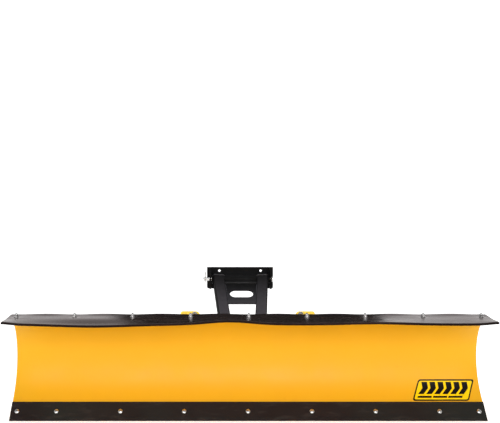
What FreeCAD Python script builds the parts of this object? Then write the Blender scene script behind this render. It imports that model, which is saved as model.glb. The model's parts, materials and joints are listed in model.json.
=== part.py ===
import FreeCAD, Part
import math
import os

# A plow blade for an all-terrain or side-by-side vehicle, with its push frame and vehicle bracket.
# Millimetres. X runs across the plow, -Y is the way it is driven, +Z is up.
# The origin is the middle of the cutting edge, on the ground.
# "left" is the -X side and "right" the +X side, as someone standing in front of the blade sees them.

# ---- the blade's side profile ----
BLADE_WIDTH = 1828.8          # a 72 in blade
SHEET = 3.0                   # moldboard sheet, 11 gauge
ROLL_RADIUS = 203.0           # front face of the rolled moldboard
ROLL_CENTRE_Z = 213.0
LEAN = math.radians(42)       # the lower flange and the wear bar lean this far from upright
BAR_THICKNESS = 6.35
BAR_HEIGHT = 76.2             # measured along the leaning front face
FLANGE_FOOT = 14.0            # the sheet ends this far up the slope, clear of the ground
ROLL_TOP = math.radians(64.5)
LIP_RADIUS = 14.0
LIP_TILT = math.radians(3)    # the top lip dips this much towards the front
LIP_LENGTH = 61.0
BACKING_THICKNESS = 6.35
BACKING_FOOT = 17.0
BACKING_HEAD = 76.0

# ---- fasteners, all 5/16 in ----
BOLT_RADIUS = 3.97
HOLE_RADIUS = 5.2
HEAD_RADIUS = 8.9             # round heads of the carriage bolts
HEAD_HEIGHT = 4.5
NUT_FLATS = 12.7
BAR_THREAD = 15.0             # thread behind the backing bar
BAR_NUT_FLANGE = (8.9, 1.8)   # radius and thickness of a flange nut's foot
BAR_NUT_HEIGHT = 8.6
FLAP_THREAD = 13.0            # thread above the flap
FLAP_WASHER = (8.9, 1.6)      # radius and thickness
FLAP_NUT_COLLAR = (5.8, 2.6)  # radius and height of a lock nut's round top
FLAP_NUT_HEIGHT = 7.0
BAR_BOLT_PLACES = (0.0, 246.0, 491.5, 738.0, 890.0)
BAR_BOLT_UP = 32.4            # up the slope, half way up the wear bar
FLAP_BOLT_PITCH = 219.6
FLAP_BOLT_Y = -34.0

# ---- rubber flap on the top lip ----
FLAP_THICKNESS = 8.0
FLAP_REAR_Y = -6.0
FLAP_DEPTH = 117.0
FLAP_TAPER = 10.0             # each end is cut this much shorter at the rear edge

# ---- trip hinge, ribs and springs, each given for the right side ----
TRIP_Y = 160.0
TRIP_Z = 85.0
TRIP_PIN_RADIUS = 9.5
LUG_RADIUS = 22.0
RIB = 6.0
INNER_RIB_X = 226.0
ARM_X = 236.0
ARM = 10.0
ARM_INSET = 2.0               # from the crossbar's front and rear faces
OUTER_RIB_X = 250.0
MID_RIB_X = 440.0
END_RIB_X = 880.0
RIB_DEPTH = 34.0
TAB_X = (186.0, 261.0)
TAB = 6.0
TAB_AWAY = 27.5               # from the eye's centre to the tab's rear face, along the spring's line
TAB_HEIGHT = 15.0             # above the eye bolt's hole
TAB_DEPTH = 20.0              # below the hole, before it is trimmed to the sheet
TAB_CORNERS = (16.0, 9.0)     # rounded upper corners, inner and outer
TAB_BRACE = 6.0               # how far above the hole the hinge ribs brace the tab
SPRING_X = 206.0
EYE_Y = 76.0
EYE_Z = 374.0
EYE_RADIUS = 10.0
EYE_WIRE = 4.0
EYE_SHANK = 5.0
EYE_HOLE = 5.2
EYE_THREAD = 17.0             # thread in front of the tab
EYE_WASHER = (11.0, 2.0)
EYE_NUT = (16.0, 9.0)         # across flats, and height
ANCHOR_Y = 262.0
ANCHOR_Z = 240.0
ANCHOR_HOLE = 8.0
ANCHOR_LUG = 15.0
ARM_ROOT_Z = (160.0, 205.0)   # where a spring arm meets the crossbar
SPRING_RADIUS = 17.0
SPRING_WIRE = 2.5
UPPER_LOOP = 9.0              # the springs' hooks
LOWER_LOOP = 11.0
PIN_HEAD = (13.0, 5.0)        # trip pin's head: radius and thickness
PIN_TAIL = 16.0               # trip pin beyond the outer rib
CLIP_PLACE = 8.0              # its clip's hole, from the outer rib
CLIP_HOLE = 2.0
CLIP_WIRE = 1.9
CLIP_LOOP = 9.0
CLIP_REACH = 5.5              # a clip's leg beyond the pin
CLIP_NECK = 3.0
RIB_FOOT = math.radians(-38)  # where the curved ribs begin and end on the roll
RIB_HEAD = math.radians(50)
RIB_TAPER = math.radians(6)

# ---- skid shoes ----
SKID_X = 640.0
SKID_Y = 182.0
STEM_RADIUS = 12.5
SOCKET_RADIUS = 19.0
SOCKET_Z = (108.0, 192.0)
STEM_TOP = 215.0
SHOE_RADIUS = 52.0
SHOE_PLATE = 6.0
SHOE_TURN_UP = (12.0, 10.0)   # how far in and how high the turned-up rim runs
WEB_FRONT_Y = (110.0, 125.0)  # the socket's web, at its foot and head
WEB_INSET = 4.0
SET_BOLT_Z = 150.0
SET_BOLT_RADIUS = 6.0
SET_BOLT_LENGTH = 22.0
SET_BOLT_HEAD = (19.0, 8.0)   # across flats, and height

# ---- swivel that carries the blade and turns about the king bolt ----
CROSS_HALF = 275.0
CROSS_Y = 154.0
CROSS_DEPTH = 50.8
CROSS_Z = 152.0
CROSS_HEIGHT = 76.2
CROSS_WALL = 4.8
SWIVEL_PLATE = 9.5
KING_Y = 285.0
KING_RADIUS = 12.7
KING_NOSE = 45.0
KING_FLATS = 38.0
KING_HEAD = 16.0
KING_NUT = 22.0
KING_THREAD = 30.0
PLATE_HALF = 95.0             # half width of the upper plate on the crossbar
SECTOR_HALF = 130.0
PLATE_LAP = 6.0               # the plates stop this far behind the crossbar's front face
SECTOR_RADIUS = 135.0
SECTOR_SPREAD = math.radians(45)
LOCK_RADIUS = 115.0           # from the king bolt to the lock pin
LOCK_ANGLES = (-27.0, -13.5, 0.0, 13.5, 27.0)
LOCK_HOLE = 8.5

# ---- push frame ----
TUBE_HALF = 25.4              # 2 in square tube
TUBE_WALL = 4.8
TUBE_FRONT = (58.0, 250.0)    # plan position of a tube's front end
TUBE_REAR = (105.0, 745.0)
TUBE_REAR_GAP = 6.0           # a tube ends this far before the lift axis, round the cross tube
TUBE_Z = 190.0
BEND_Y = 338.0
LIFT_Y = 755.0
LIFT_Z = 398.0
PIVOT_PLATE = 6.35
PIVOT_FRONT = (82.0, 256.0)   # plan corners of the pivot plates
PIVOT_REAR = (90.0, 330.0)
PIVOT_TURN = math.radians(35)
BARREL_RADIUS = 22.2
WASHER = 2.0                  # the swivel's washers
CROSS_TUBE_RADIUS = 19.05
CROSS_TUBE_BORE = 12.7
CROSS_TUBE_HALF = 138.0
BUSH_LENGTH = 30.0
GUSSET_Y = (571.0, 698.0)
GUSSET_DROP = 14.0            # the gusset lies this far above the tubes' centre plane
GUSSET = 6.0
GUSSET_HOLE = (107.5, 51.0)
BRIDGE_Y = (345.0, 425.0)
BRIDGE_Z = 206.0
BRIDGE = 8.0
LUG_Y = 359.0
LUG_Z = 250.0
LUG_HOLE = 8.0
LUG_HALF = 5.0
LUG_REACH = 15.0

# ---- lock pin, drawn up and parked ----
LOCK_PIN_RADIUS = 7.95
LOCK_PIN_Z = (155.0, 284.0)
HOUSING_Z = (166.0, 244.0)
HOUSING_RADIUS = 15.9
CHAMBER_Z = 196.0
CHAMBER_RADIUS = 13.0
COLLAR_Z = (218.0, 222.0)
COLLAR_RADIUS = 12.5
LOCK_SPRING = (12.0, 9.0)     # outer and inner radius
CAP = 6.0
PIN_TIP = (2.0, 3.0)          # the pin's lead-in: in and up
HANDLE_HUB = (11.0, 12.0, 8.0)   # radius, and how far it reaches below and above the pin's top
HANDLE_RADIUS = 5.5
HANDLE_HALF = 45.0
HANDLE_RISE = 2.0

# ---- vehicle bracket ----
PIN_RADIUS = 7.95
SIDE_X = 140.0
SIDE = 8.0
SIDE_Y = (722.0, 806.0)
SIDE_Z = (352.0, 446.0)
BACK_HALF = 160.0
BACK_LOW_Z = 343.0
BACK_CORNER = 8.0
BACK_BOLTS = (100.0, 30.0)    # half spacings of the four bolts to the vehicle, X and Z
BACK_HOLE = 6.5
CHEEK_CORNER = 26.0
HITCH_HEAD = (13.0, 7.0)      # radius and thickness
HITCH_TAIL = 30.0             # pin beyond the left cheek
HITCH_CLIP_PLACE = 20.0
HITCH_CLIP_WIRE = 1.8

FIT = 0.1                     # radial clearance where a pin turns or slides
THROUGH = 1.0                 # a cutting tool reaches this far past a face
BAR_THROUGH = 20.0

X_AXIS = FreeCAD.Vector(1, 0, 0)
Z_AXIS = FreeCAD.Vector(0, 0, 1)
HALF_WIDTH = BLADE_WIDTH / 2
REAR_RADIUS = ROLL_RADIUS + SHEET         # the moldboard's rear face
LAND = BAR_THICKNESS / math.cos(LEAN)     # width of the bar's flat foot on the ground
LOCK_Y = KING_Y + LOCK_RADIUS
OUTER_FACE_X = OUTER_RIB_X + RIB
CROSS_REAR_Y = CROSS_Y + CROSS_DEPTH
CROSS_TOP = CROSS_Z + CROSS_HEIGHT
CHEEK_X = SIDE_X + SIDE                   # outer face of a bracket cheek


# ---- points, outlines and simple solids ----

def point(x, y, z):
    return FreeCAD.Vector(x, y, z)


def side(y, z):
    """A point of a side view, in the plane X = 0."""
    return FreeCAD.Vector(0, y, z)


def plan(x, y):
    """A point of a plan view, in the plane Z = 0."""
    return FreeCAD.Vector(x, y, 0)


def outline(start, *steps):
    """The closed face from start through the steps: a point is a straight edge to it, and a pair is an arc
    through its first point to its second."""
    edges = []
    here = start
    for step in steps:
        if isinstance(step, tuple):
            through, end = step
            edges.append(Part.Arc(here, through, end).toShape())
        else:
            end = step
            edges.append(Part.LineSegment(here, end).toShape())
        here = end
    if here.distanceToPoint(start) > 1e-6:
        edges.append(Part.LineSegment(here, start).toShape())
    return Part.Face(Part.Wire(edges))


def across(face, x_from, x_to):
    """A side view's face, extruded between two places in X."""
    solid = face.extrude(point(x_to - x_from, 0, 0))
    solid.translate(point(x_from, 0, 0))
    return solid


def upright(face, z_from, z_to):
    """A plan view's face, extruded between two heights."""
    solid = face.extrude(point(0, 0, z_to - z_from))
    solid.translate(point(0, 0, z_from))
    return solid


def rounded(corner):
    """How far the middle of a corner's arc lies in from each of the two edges."""
    return corner * (1 - math.sqrt(0.5))


def rod(radius, start, end):
    axis = end - start
    return Part.makeCylinder(radius, axis.Length, start, axis)


def ring(radius, bore, start, end):
    return rod(radius, start, end).cut(rod(bore, start, end))


def placed(solid, base, axis):
    """A solid made about +Z at the origin, moved to stand at base along axis."""
    solid.Placement = FreeCAD.Placement(base, FreeCAD.Rotation(Z_AXIS, axis))
    return solid


def hexagon(flats, start, end):
    reach = flats / 2 / math.cos(math.radians(30))
    corners = []
    for turn in range(7):
        angle = math.radians(60 * turn)
        corners.append(plan(reach * math.cos(angle), reach * math.sin(angle)))
    axis = end - start
    prism = Part.Face(Part.makePolygon(corners)).extrude(point(0, 0, axis.Length))
    return placed(prism, start, axis)


def dome(radius, height, base, axis):
    """A shallow round head: the cap of a sphere, standing on base."""
    ball = (radius ** 2 + height ** 2) / (2 * height)
    latitude = math.degrees(math.asin((ball - height) / ball))
    cap = Part.makeSphere(ball, point(0, 0, height - ball), Z_AXIS, latitude, 90, 360)
    return placed(cap, base, axis)


def both_sides(make):
    """The two solids of a pair that share a node."""
    return Part.makeCompound([make(-1), make(1)])


# ---- places on the blade's profile ----

SLOPE = side(math.sin(LEAN), math.cos(LEAN))          # up the leaning flange
FORWARD = side(-math.cos(LEAN), math.sin(LEAN))       # out of its front face
LIP = side(-math.cos(LIP_TILT), -math.sin(LIP_TILT))  # along the lip, towards the front
LIP_UP = side(-math.sin(LIP_TILT), math.cos(LIP_TILT))


def on_flange(up, out):
    """A point up the flange's slope and out from its front face."""
    return side(LAND / 2, 0) + SLOPE * up + FORWARD * out


FLANGE_LENGTH = (ROLL_CENTRE_Z - ROLL_RADIUS * math.sin(LEAN)) / math.cos(LEAN)
ROLL_CENTRE = on_flange(FLANGE_LENGTH, ROLL_RADIUS)


def on_roll(radius, angle):
    """A point of the roll, with its angle above level."""
    return ROLL_CENTRE + side(math.cos(angle), math.sin(angle)) * radius


LIP_CENTRE = on_roll(ROLL_RADIUS - LIP_RADIUS, ROLL_TOP)
LIP_ANGLE = math.pi / 2 + LIP_TILT


def on_lip_bend(radius, angle):
    return LIP_CENTRE + side(math.cos(angle), math.sin(angle)) * radius


def on_lip(y, above):
    """A point above the lip's upper face, at a given Y."""
    start = on_lip_bend(LIP_RADIUS + SHEET, LIP_ANGLE)
    return start + LIP * ((start.y - y) / math.cos(LIP_TILT)) + LIP_UP * above


PULL = side(EYE_Y - ANCHOR_Y, EYE_Z - ANCHOR_Z).normalize()    # from a spring's anchor to its eye
TAB_UP = side(PULL.z, -PULL.y)


def roll_cylinder():
    """Everything in front of the moldboard's rear face, for trimming what is welded to it."""
    start = point(-HALF_WIDTH, ROLL_CENTRE.y, ROLL_CENTRE.z)
    return rod(REAR_RADIUS, start, start + point(BLADE_WIDTH, 0, 0))


BAR_BOLTS = sorted({sign * place for place in BAR_BOLT_PLACES for sign in (-1, 1)})
FLAP_BOLTS = [FLAP_BOLT_PITCH * n for n in range(-4, 5)]


def bar_bolt_axis(x, start, end):
    """Two points on a wear bar bolt's axis, measured out from the flange's front face."""
    shift = point(x, 0, 0)
    return on_flange(BAR_BOLT_UP, start) + shift, on_flange(BAR_BOLT_UP, end) + shift


def flap_bolt_axis(x, start, end):
    """Two points on a flap bolt's axis, measured up from the lip's upper face."""
    shift = point(x, 0, 0)
    return on_lip(FLAP_BOLT_Y, start) + shift, on_lip(FLAP_BOLT_Y, end) + shift


def bar_holes():
    return [rod(HOLE_RADIUS, *bar_bolt_axis(x, -BAR_THROUGH, BAR_THROUGH)) for x in BAR_BOLTS]


def flap_holes():
    return [rod(HOLE_RADIUS, *flap_bolt_axis(x, -BAR_THROUGH, BAR_THROUGH)) for x in FLAP_BOLTS]


# ---- blade ----

def moldboard():
    inner = ROLL_RADIUS
    outer = REAR_RADIUS
    middle = (ROLL_TOP - LEAN) / 2
    bend = (ROLL_TOP + LIP_ANGLE) / 2
    lip_start = on_lip_bend(LIP_RADIUS, LIP_ANGLE)
    lip_start_top = on_lip_bend(LIP_RADIUS + SHEET, LIP_ANGLE)
    face = outline(
        on_flange(FLANGE_FOOT, 0),
        on_flange(FLANGE_LENGTH, 0),
        (on_roll(inner, middle), on_roll(inner, ROLL_TOP)),
        (on_lip_bend(LIP_RADIUS, bend), lip_start),
        lip_start + LIP * LIP_LENGTH,
        lip_start_top + LIP * LIP_LENGTH,
        lip_start_top,
        (on_lip_bend(LIP_RADIUS + SHEET, bend), on_roll(outer, ROLL_TOP)),
        (on_roll(outer, middle), on_flange(FLANGE_LENGTH, -SHEET)),
        on_flange(FLANGE_FOOT, -SHEET),
    )
    sheet = across(face, -HALF_WIDTH, HALF_WIDTH)
    return sheet.cut(bar_holes() + flap_holes())


def wear_bar():
    """Its lower edge is worn flat on the ground."""
    head = BAR_HEIGHT - LAND * math.sin(LEAN)
    face = outline(side(LAND / 2, 0), on_flange(head, 0), on_flange(head, BAR_THICKNESS),
                   side(-LAND / 2, 0))
    return across(face, -HALF_WIDTH, HALF_WIDTH).cut(bar_holes())


def backing_bar():
    face = outline(
        on_flange(BACKING_FOOT, -SHEET),
        on_flange(BACKING_HEAD, -SHEET),
        on_flange(BACKING_HEAD, -SHEET - BACKING_THICKNESS),
        on_flange(BACKING_FOOT, -SHEET - BACKING_THICKNESS),
    )
    return across(face, -HALF_WIDTH, HALF_WIDTH).cut(bar_holes())


def wear_bar_bolts():
    """Carriage bolts: round heads in front, threads behind."""
    behind = -SHEET - BACKING_THICKNESS - BAR_THREAD
    bolts = []
    for x in BAR_BOLTS:
        tip, seat = bar_bolt_axis(x, behind, BAR_THICKNESS)
        bolts.append(rod(BOLT_RADIUS, tip, seat).fuse(dome(HEAD_RADIUS, HEAD_HEIGHT, seat, FORWARD)))
    return Part.makeCompound(bolts)


def wear_bar_nuts():
    """Flange nuts behind the backing bar."""
    seat = -SHEET - BACKING_THICKNESS
    foot_radius, foot = BAR_NUT_FLANGE
    nuts = []
    for x in BAR_BOLTS:
        start, flange = bar_bolt_axis(x, seat, seat - foot)
        end = bar_bolt_axis(x, seat, seat - BAR_NUT_HEIGHT)[1]
        body = rod(foot_radius, start, flange).fuse(hexagon(NUT_FLATS, flange, end))
        nuts.append(body.cut(rod(BOLT_RADIUS, start, end)))
    return Part.makeCompound(nuts)


def deflector_flap():
    """A rubber strip bolted on the top lip, leaning with it, and a little longer in front than behind."""
    rear = on_lip(FLAP_REAR_Y, 0)
    front = rear + LIP * FLAP_DEPTH
    thick = LIP_UP * FLAP_THICKNESS
    strip = across(outline(rear, front, front + thick, rear + thick), -HALF_WIDTH, HALF_WIDTH)
    beyond = front.y - FLAP_THICKNESS
    shape = outline(
        plan(-HALF_WIDTH, beyond),
        plan(-HALF_WIDTH, front.y),
        plan(FLAP_TAPER - HALF_WIDTH, rear.y),
        plan(HALF_WIDTH - FLAP_TAPER, rear.y),
        plan(HALF_WIDTH, front.y),
        plan(HALF_WIDTH, beyond),
    )
    trimmed = strip.common(upright(shape, front.z - FLAP_THICKNESS, rear.z + 2 * FLAP_THICKNESS))
    return trimmed.cut(flap_holes())


def flap_bolts():
    """Round heads under the lip, threads standing up through the flap."""
    bolts = []
    for x in FLAP_BOLTS:
        seat, tip = flap_bolt_axis(x, -SHEET, FLAP_THICKNESS + FLAP_THREAD)
        bolts.append(rod(BOLT_RADIUS, seat, tip).fuse(dome(HEAD_RADIUS, HEAD_HEIGHT, seat, -LIP_UP)))
    return Part.makeCompound(bolts)


def flap_washers():
    radius, thickness = FLAP_WASHER
    return Part.makeCompound([
        ring(radius, BOLT_RADIUS, *flap_bolt_axis(x, FLAP_THICKNESS, FLAP_THICKNESS + thickness))
        for x in FLAP_BOLTS
    ])


def flap_nuts():
    """Lock nuts with a round collar on top."""
    seat = FLAP_THICKNESS + FLAP_WASHER[1]
    collar_radius, collar = FLAP_NUT_COLLAR
    nuts = []
    for x in FLAP_BOLTS:
        start, shoulder = flap_bolt_axis(x, seat, seat + FLAP_NUT_HEIGHT)
        end = flap_bolt_axis(x, seat, seat + FLAP_NUT_HEIGHT + collar)[1]
        body = hexagon(NUT_FLATS, start, shoulder).fuse(rod(collar_radius, shoulder, end))
        nuts.append(body.cut(rod(BOLT_RADIUS, start, end)))
    return Part.makeCompound(nuts)


def trip_hole(sign, x, thickness):
    """The hole for a trip pin through a plate that starts at x."""
    return rod(TRIP_PIN_RADIUS + FIT, point(sign * (x - THROUGH), TRIP_Y, TRIP_Z),
               point(sign * (x + thickness + THROUGH), TRIP_Y, TRIP_Z))


def on_tab(up, ahead):
    """A point of a spring tab, up from its bolt hole and ahead of its rear face."""
    return side(EYE_Y, EYE_Z) + PULL * (TAB_AWAY + ahead) + TAB_UP * up


def tab_foot():
    """Where a spring tab's rear face meets the sheet, as an angle of the roll."""
    start = on_tab(0, 0) - ROLL_CENTRE
    along = start.dot(TAB_UP)
    foot = start + TAB_UP * (math.sqrt(along ** 2 - start.dot(start) + REAR_RADIUS ** 2) - along)
    return math.atan2(foot.z, foot.y)


def hinge_rib(sign, x):
    """A tall rib that carries the trip hinge at its foot and braces a spring tab at its head."""
    head_angle = tab_foot()
    stop_y = CROSS_Y - 1
    top_of_lug = math.radians(80)
    pivot = side(TRIP_Y, TRIP_Z)
    face = outline(
        on_roll(REAR_RADIUS, RIB_FOOT),
        pivot + side(0, -LUG_RADIUS),
        (pivot + side(LUG_RADIUS, 0),
         pivot + side(math.cos(top_of_lug), math.sin(top_of_lug)) * LUG_RADIUS),
        side(stop_y, CROSS_Z),
        side(stop_y, CROSS_TOP),
        on_roll(REAR_RADIUS + RIB_DEPTH, RIB_HEAD - RIB_TAPER),
        on_tab(TAB_BRACE, 0),
        on_roll(REAR_RADIUS, head_angle),
        (on_roll(REAR_RADIUS, (head_angle + RIB_FOOT) / 2), on_roll(REAR_RADIUS, RIB_FOOT)),
    )
    return across(face, sign * x, sign * (x + RIB)).cut(trip_hole(sign, x, RIB))


def curved_rib(sign, x):
    """A flat bar on edge that follows the roll."""
    rear = REAR_RADIUS
    back = rear + RIB_DEPTH
    middle = (RIB_FOOT + RIB_HEAD) / 2
    face = outline(
        on_roll(rear, RIB_FOOT),
        on_roll(back, RIB_FOOT + RIB_TAPER),
        (on_roll(back, middle), on_roll(back, RIB_HEAD - RIB_TAPER)),
        on_roll(rear, RIB_HEAD),
        (on_roll(rear, middle), on_roll(rear, RIB_FOOT)),
    )
    return across(face, sign * x, sign * (x + RIB))


def skid_bracket(sign):
    """A curved rib with an upright socket for the skid shoe's stem welded behind it."""
    low, high = SOCKET_Z
    foot_y, head_y = WEB_FRONT_Y
    inner = SKID_X - RIB / 2
    web = outline(
        side(foot_y, low + WEB_INSET),
        side(SKID_Y, low + WEB_INSET),
        side(SKID_Y, high - WEB_INSET),
        side(head_y, high - WEB_INSET),
    )
    rib = curved_rib(sign, inner).fuse(across(web, sign * inner, sign * (inner + RIB)))
    start = point(sign * SKID_X, SKID_Y, low)
    end = point(sign * SKID_X, SKID_Y, high)
    bracket = rib.fuse(rod(SOCKET_RADIUS, start, end)).cut(rod(STEM_RADIUS + FIT, start, end))
    bolt_start = point(sign * SKID_X, SKID_Y, SET_BOLT_Z)
    bolt_hole = rod(SET_BOLT_RADIUS, bolt_start, bolt_start + side(2 * SOCKET_RADIUS, 0))
    return bracket.cut([bolt_hole, roll_cylinder()])


def skid_set_bolt(sign):
    """Clamps a shoe's stem at its height."""
    flats, height = SET_BOLT_HEAD
    tip = point(sign * SKID_X, SKID_Y + STEM_RADIUS + 4 * FIT, SET_BOLT_Z)
    neck = tip + side(SET_BOLT_LENGTH, 0)
    return rod(SET_BOLT_RADIUS, tip, neck).fuse(hexagon(flats, neck, neck + side(height, 0)))


def spring_tab(sign):
    """A plate standing on the sheet, square to the pull of the trip spring whose eye bolt goes through it."""
    inner, outer = TAB_X
    inner_corner, outer_corner = TAB_CORNERS
    inner_bevel = rounded(inner_corner)
    outer_bevel = rounded(outer_corner)

    def at(x, up):
        return point(sign * x, 0, 0) + on_tab(up, 0)
    face = outline(
        at(inner, -TAB_DEPTH),
        at(outer, -TAB_DEPTH),
        at(outer, TAB_HEIGHT - outer_corner),
        (at(outer - outer_bevel, TAB_HEIGHT - outer_bevel), at(outer - outer_corner, TAB_HEIGHT)),
        at(inner + inner_corner, TAB_HEIGHT),
        (at(inner + inner_bevel, TAB_HEIGHT - inner_bevel), at(inner, TAB_HEIGHT - inner_corner)),
    )
    hole = rod(EYE_HOLE, eye_place(sign, TAB_AWAY - THROUGH), eye_place(sign, TAB_AWAY + TAB + THROUGH))
    return face.extrude(PULL * TAB).cut([hole, roll_cylinder()])


def eye_place(sign, ahead):
    """A point ahead of a spring's eye, on the spring's line."""
    return point(sign * SPRING_X, EYE_Y, EYE_Z) + PULL * ahead


def spring_eye_bolt(sign):
    loop = Part.makeTorus(EYE_RADIUS, EYE_WIRE, eye_place(sign, 0), X_AXIS)
    shank = rod(EYE_SHANK, eye_place(sign, EYE_RADIUS), eye_place(sign, TAB_AWAY + TAB + EYE_THREAD))
    return loop.fuse(shank)


def spring_eye_nut(sign):
    """A washer and a nut on the tab's front face."""
    washer_radius, washer_height = EYE_WASHER
    flats, height = EYE_NUT
    base = eye_place(sign, TAB_AWAY + TAB)
    washer = base + PULL * washer_height
    top = washer + PULL * height
    nut = rod(washer_radius, base, washer).fuse(hexagon(flats, washer, top))
    return nut.cut(rod(EYE_SHANK, base, top))


def clip_hole(pin_radius, radius, place):
    """An upright hole through a pin, for its clip."""
    reach = point(0, 0, pin_radius + THROUGH)
    return rod(radius, place - reach, place + reach)


def ring_clip(pin_radius, wire, place):
    """A straight leg through a pin, with a round pull above it."""
    below = point(0, 0, pin_radius + CLIP_REACH)
    above = point(0, 0, pin_radius + CLIP_REACH + CLIP_NECK)
    pull = Part.makeTorus(CLIP_LOOP, wire, place + above + point(0, 0, CLIP_LOOP), X_AXIS)
    return rod(wire, place - below, place + above).fuse(pull)


def trip_place(sign, x):
    return point(sign * x, TRIP_Y, TRIP_Z)


def trip_pin(sign):
    """The hinge pin through two ribs and the swivel's arm, with its head inboard."""
    radius, thickness = PIN_HEAD
    pin = rod(TRIP_PIN_RADIUS, trip_place(sign, INNER_RIB_X), trip_place(sign, OUTER_FACE_X + PIN_TAIL))
    head = rod(radius, trip_place(sign, INNER_RIB_X - thickness), trip_place(sign, INNER_RIB_X))
    hole = clip_hole(TRIP_PIN_RADIUS, CLIP_HOLE, trip_place(sign, OUTER_FACE_X + CLIP_PLACE))
    return pin.fuse(head).cut(hole)


def trip_pin_clip(sign):
    return ring_clip(TRIP_PIN_RADIUS, CLIP_WIRE, trip_place(sign, OUTER_FACE_X + CLIP_PLACE))


# ---- skid shoes ----

def skid_shoe(sign):
    """A turned-up round foot on a stem."""
    inset, rise = SHOE_TURN_UP
    flat = SHOE_RADIUS - inset
    edge = SHOE_PLATE * 2 / 3
    dish = outline(
        point(0, 0, 0),
        point(flat, 0, 0),
        point(SHOE_RADIUS, 0, rise),
        point(SHOE_RADIUS - edge, 0, rise + edge),
        point(flat - edge / 2, 0, SHOE_PLATE),
        point(0, 0, SHOE_PLATE),
    ).revolve(point(0, 0, 0), Z_AXIS, 360)
    base = point(sign * SKID_X, SKID_Y, 0)
    dish.translate(base)
    return dish.fuse(rod(STEM_RADIUS, base + point(0, 0, SHOE_PLATE / 2), base + point(0, 0, STEM_TOP)))


# ---- swivel ----

def swivel_crossbar():
    """A rectangular tube, with the hinge arms under it and the spring arms behind it."""
    def bar(inset):
        corner = point(-CROSS_HALF, CROSS_Y + inset, CROSS_Z + inset)
        return Part.makeBox(2 * CROSS_HALF, CROSS_DEPTH - 2 * inset, CROSS_HEIGHT - 2 * inset, corner)
    return bar(0).cut(bar(CROSS_WALL))


def king_axis(z_from, z_to):
    return point(0, KING_Y, z_from), point(0, KING_Y, z_to)


def swivel_plate():
    """The upper of the two plates that reach back from the crossbar to the king bolt."""
    front_y = CROSS_Y + PLATE_LAP
    face = outline(
        plan(-PLATE_HALF, front_y),
        plan(PLATE_HALF, front_y),
        plan(PLATE_HALF, CROSS_REAR_Y),
        plan(KING_NOSE, KING_Y),
        (plan(0, KING_Y + KING_NOSE), plan(-KING_NOSE, KING_Y)),
        plan(-PLATE_HALF, CROSS_REAR_Y),
    )
    high = CROSS_TOP + SWIVEL_PLATE
    king_hole = rod(KING_RADIUS + FIT, *king_axis(CROSS_TOP - THROUGH, high + THROUGH))
    return upright(face, CROSS_TOP, high).cut(king_hole)


def sector_plate():
    """The lower plate, with a row of holes for the lock pin along its rear arc."""
    front_y = CROSS_Y + PLATE_LAP
    x = SECTOR_RADIUS * math.sin(SECTOR_SPREAD)
    y = KING_Y + SECTOR_RADIUS * math.cos(SECTOR_SPREAD)
    face = outline(
        plan(-SECTOR_HALF, front_y),
        plan(SECTOR_HALF, front_y),
        plan(SECTOR_HALF, CROSS_REAR_Y),
        plan(x, y),
        (plan(0, KING_Y + SECTOR_RADIUS), plan(-x, y)),
        plan(-SECTOR_HALF, CROSS_REAR_Y),
    )
    low = CROSS_Z - SWIVEL_PLATE
    holes = [rod(KING_RADIUS + FIT, *king_axis(low - THROUGH, CROSS_Z + THROUGH))]
    for degrees in LOCK_ANGLES:
        angle = math.radians(degrees)
        x = LOCK_RADIUS * math.sin(angle)
        y = KING_Y + LOCK_RADIUS * math.cos(angle)
        holes.append(rod(LOCK_HOLE, point(x, y, low - THROUGH), point(x, y, CROSS_Z + THROUGH)))
    return upright(face, low, CROSS_Z).cut(holes)


def hinge_arm(sign):
    """Hangs under the crossbar between two ribs and holds the trip pin."""
    pivot = side(TRIP_Y, TRIP_Z)
    face = outline(
        side(CROSS_Y + ARM_INSET, CROSS_Z),
        side(CROSS_REAR_Y - ARM_INSET, CROSS_Z),
        pivot + side(LUG_RADIUS, 0),
        (pivot + side(0, -LUG_RADIUS), pivot + side(-LUG_RADIUS, 0)),
    )
    return across(face, sign * ARM_X, sign * (ARM_X + ARM)).cut(trip_hole(sign, ARM_X, ARM))


def spring_arm(sign):
    """Reaches back from the crossbar to the trip spring's lower hook."""
    foot, head = ARM_ROOT_Z
    anchor = side(ANCHOR_Y, ANCHOR_Z)

    def around(degrees):
        angle = math.radians(degrees)
        return anchor + side(math.cos(angle), math.sin(angle)) * ANCHOR_LUG
    face = outline(side(CROSS_REAR_Y, foot), side(CROSS_REAR_Y, head), around(200), (around(70), around(-60)))
    arm = across(face, sign * (SPRING_X - RIB / 2), sign * (SPRING_X + RIB / 2))
    return arm.cut(rod(ANCHOR_HOLE, point(sign * (SPRING_X - RIB), ANCHOR_Y, ANCHOR_Z),
                       point(sign * (SPRING_X + RIB), ANCHOR_Y, ANCHOR_Z)))


def trip_spring(sign):
    """The outer shape of a close-wound spring, with a hook at each end."""
    eye = point(sign * SPRING_X, EYE_Y, EYE_Z)
    anchor = point(sign * SPRING_X, ANCHOR_Y, ANCHOR_Z)
    along = (anchor - eye).normalize()
    flat = along.cross(X_AXIS)
    upper = eye + along * (EYE_RADIUS - EYE_WIRE - SPRING_WIRE + UPPER_LOOP - 3 * FIT)
    lower = anchor - along * (ANCHOR_HOLE - SPRING_WIRE - THROUGH + LOWER_LOOP)
    coil = rod(SPRING_RADIUS, upper + along * UPPER_LOOP, lower - along * LOWER_LOOP)
    upper_hook = Part.makeTorus(UPPER_LOOP, SPRING_WIRE, upper, flat)
    lower_hook = Part.makeTorus(LOWER_LOOP, SPRING_WIRE, lower, flat)
    return coil.fuse([upper_hook, lower_hook])


def king_bolt():
    top = CROSS_TOP + SWIVEL_PLATE + WASHER
    bottom = CROSS_Z - SWIVEL_PLATE - WASHER - KING_THREAD
    bolt = rod(KING_RADIUS, *king_axis(bottom, top))
    return bolt.fuse(hexagon(KING_FLATS, *king_axis(top, top + KING_HEAD)))


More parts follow.
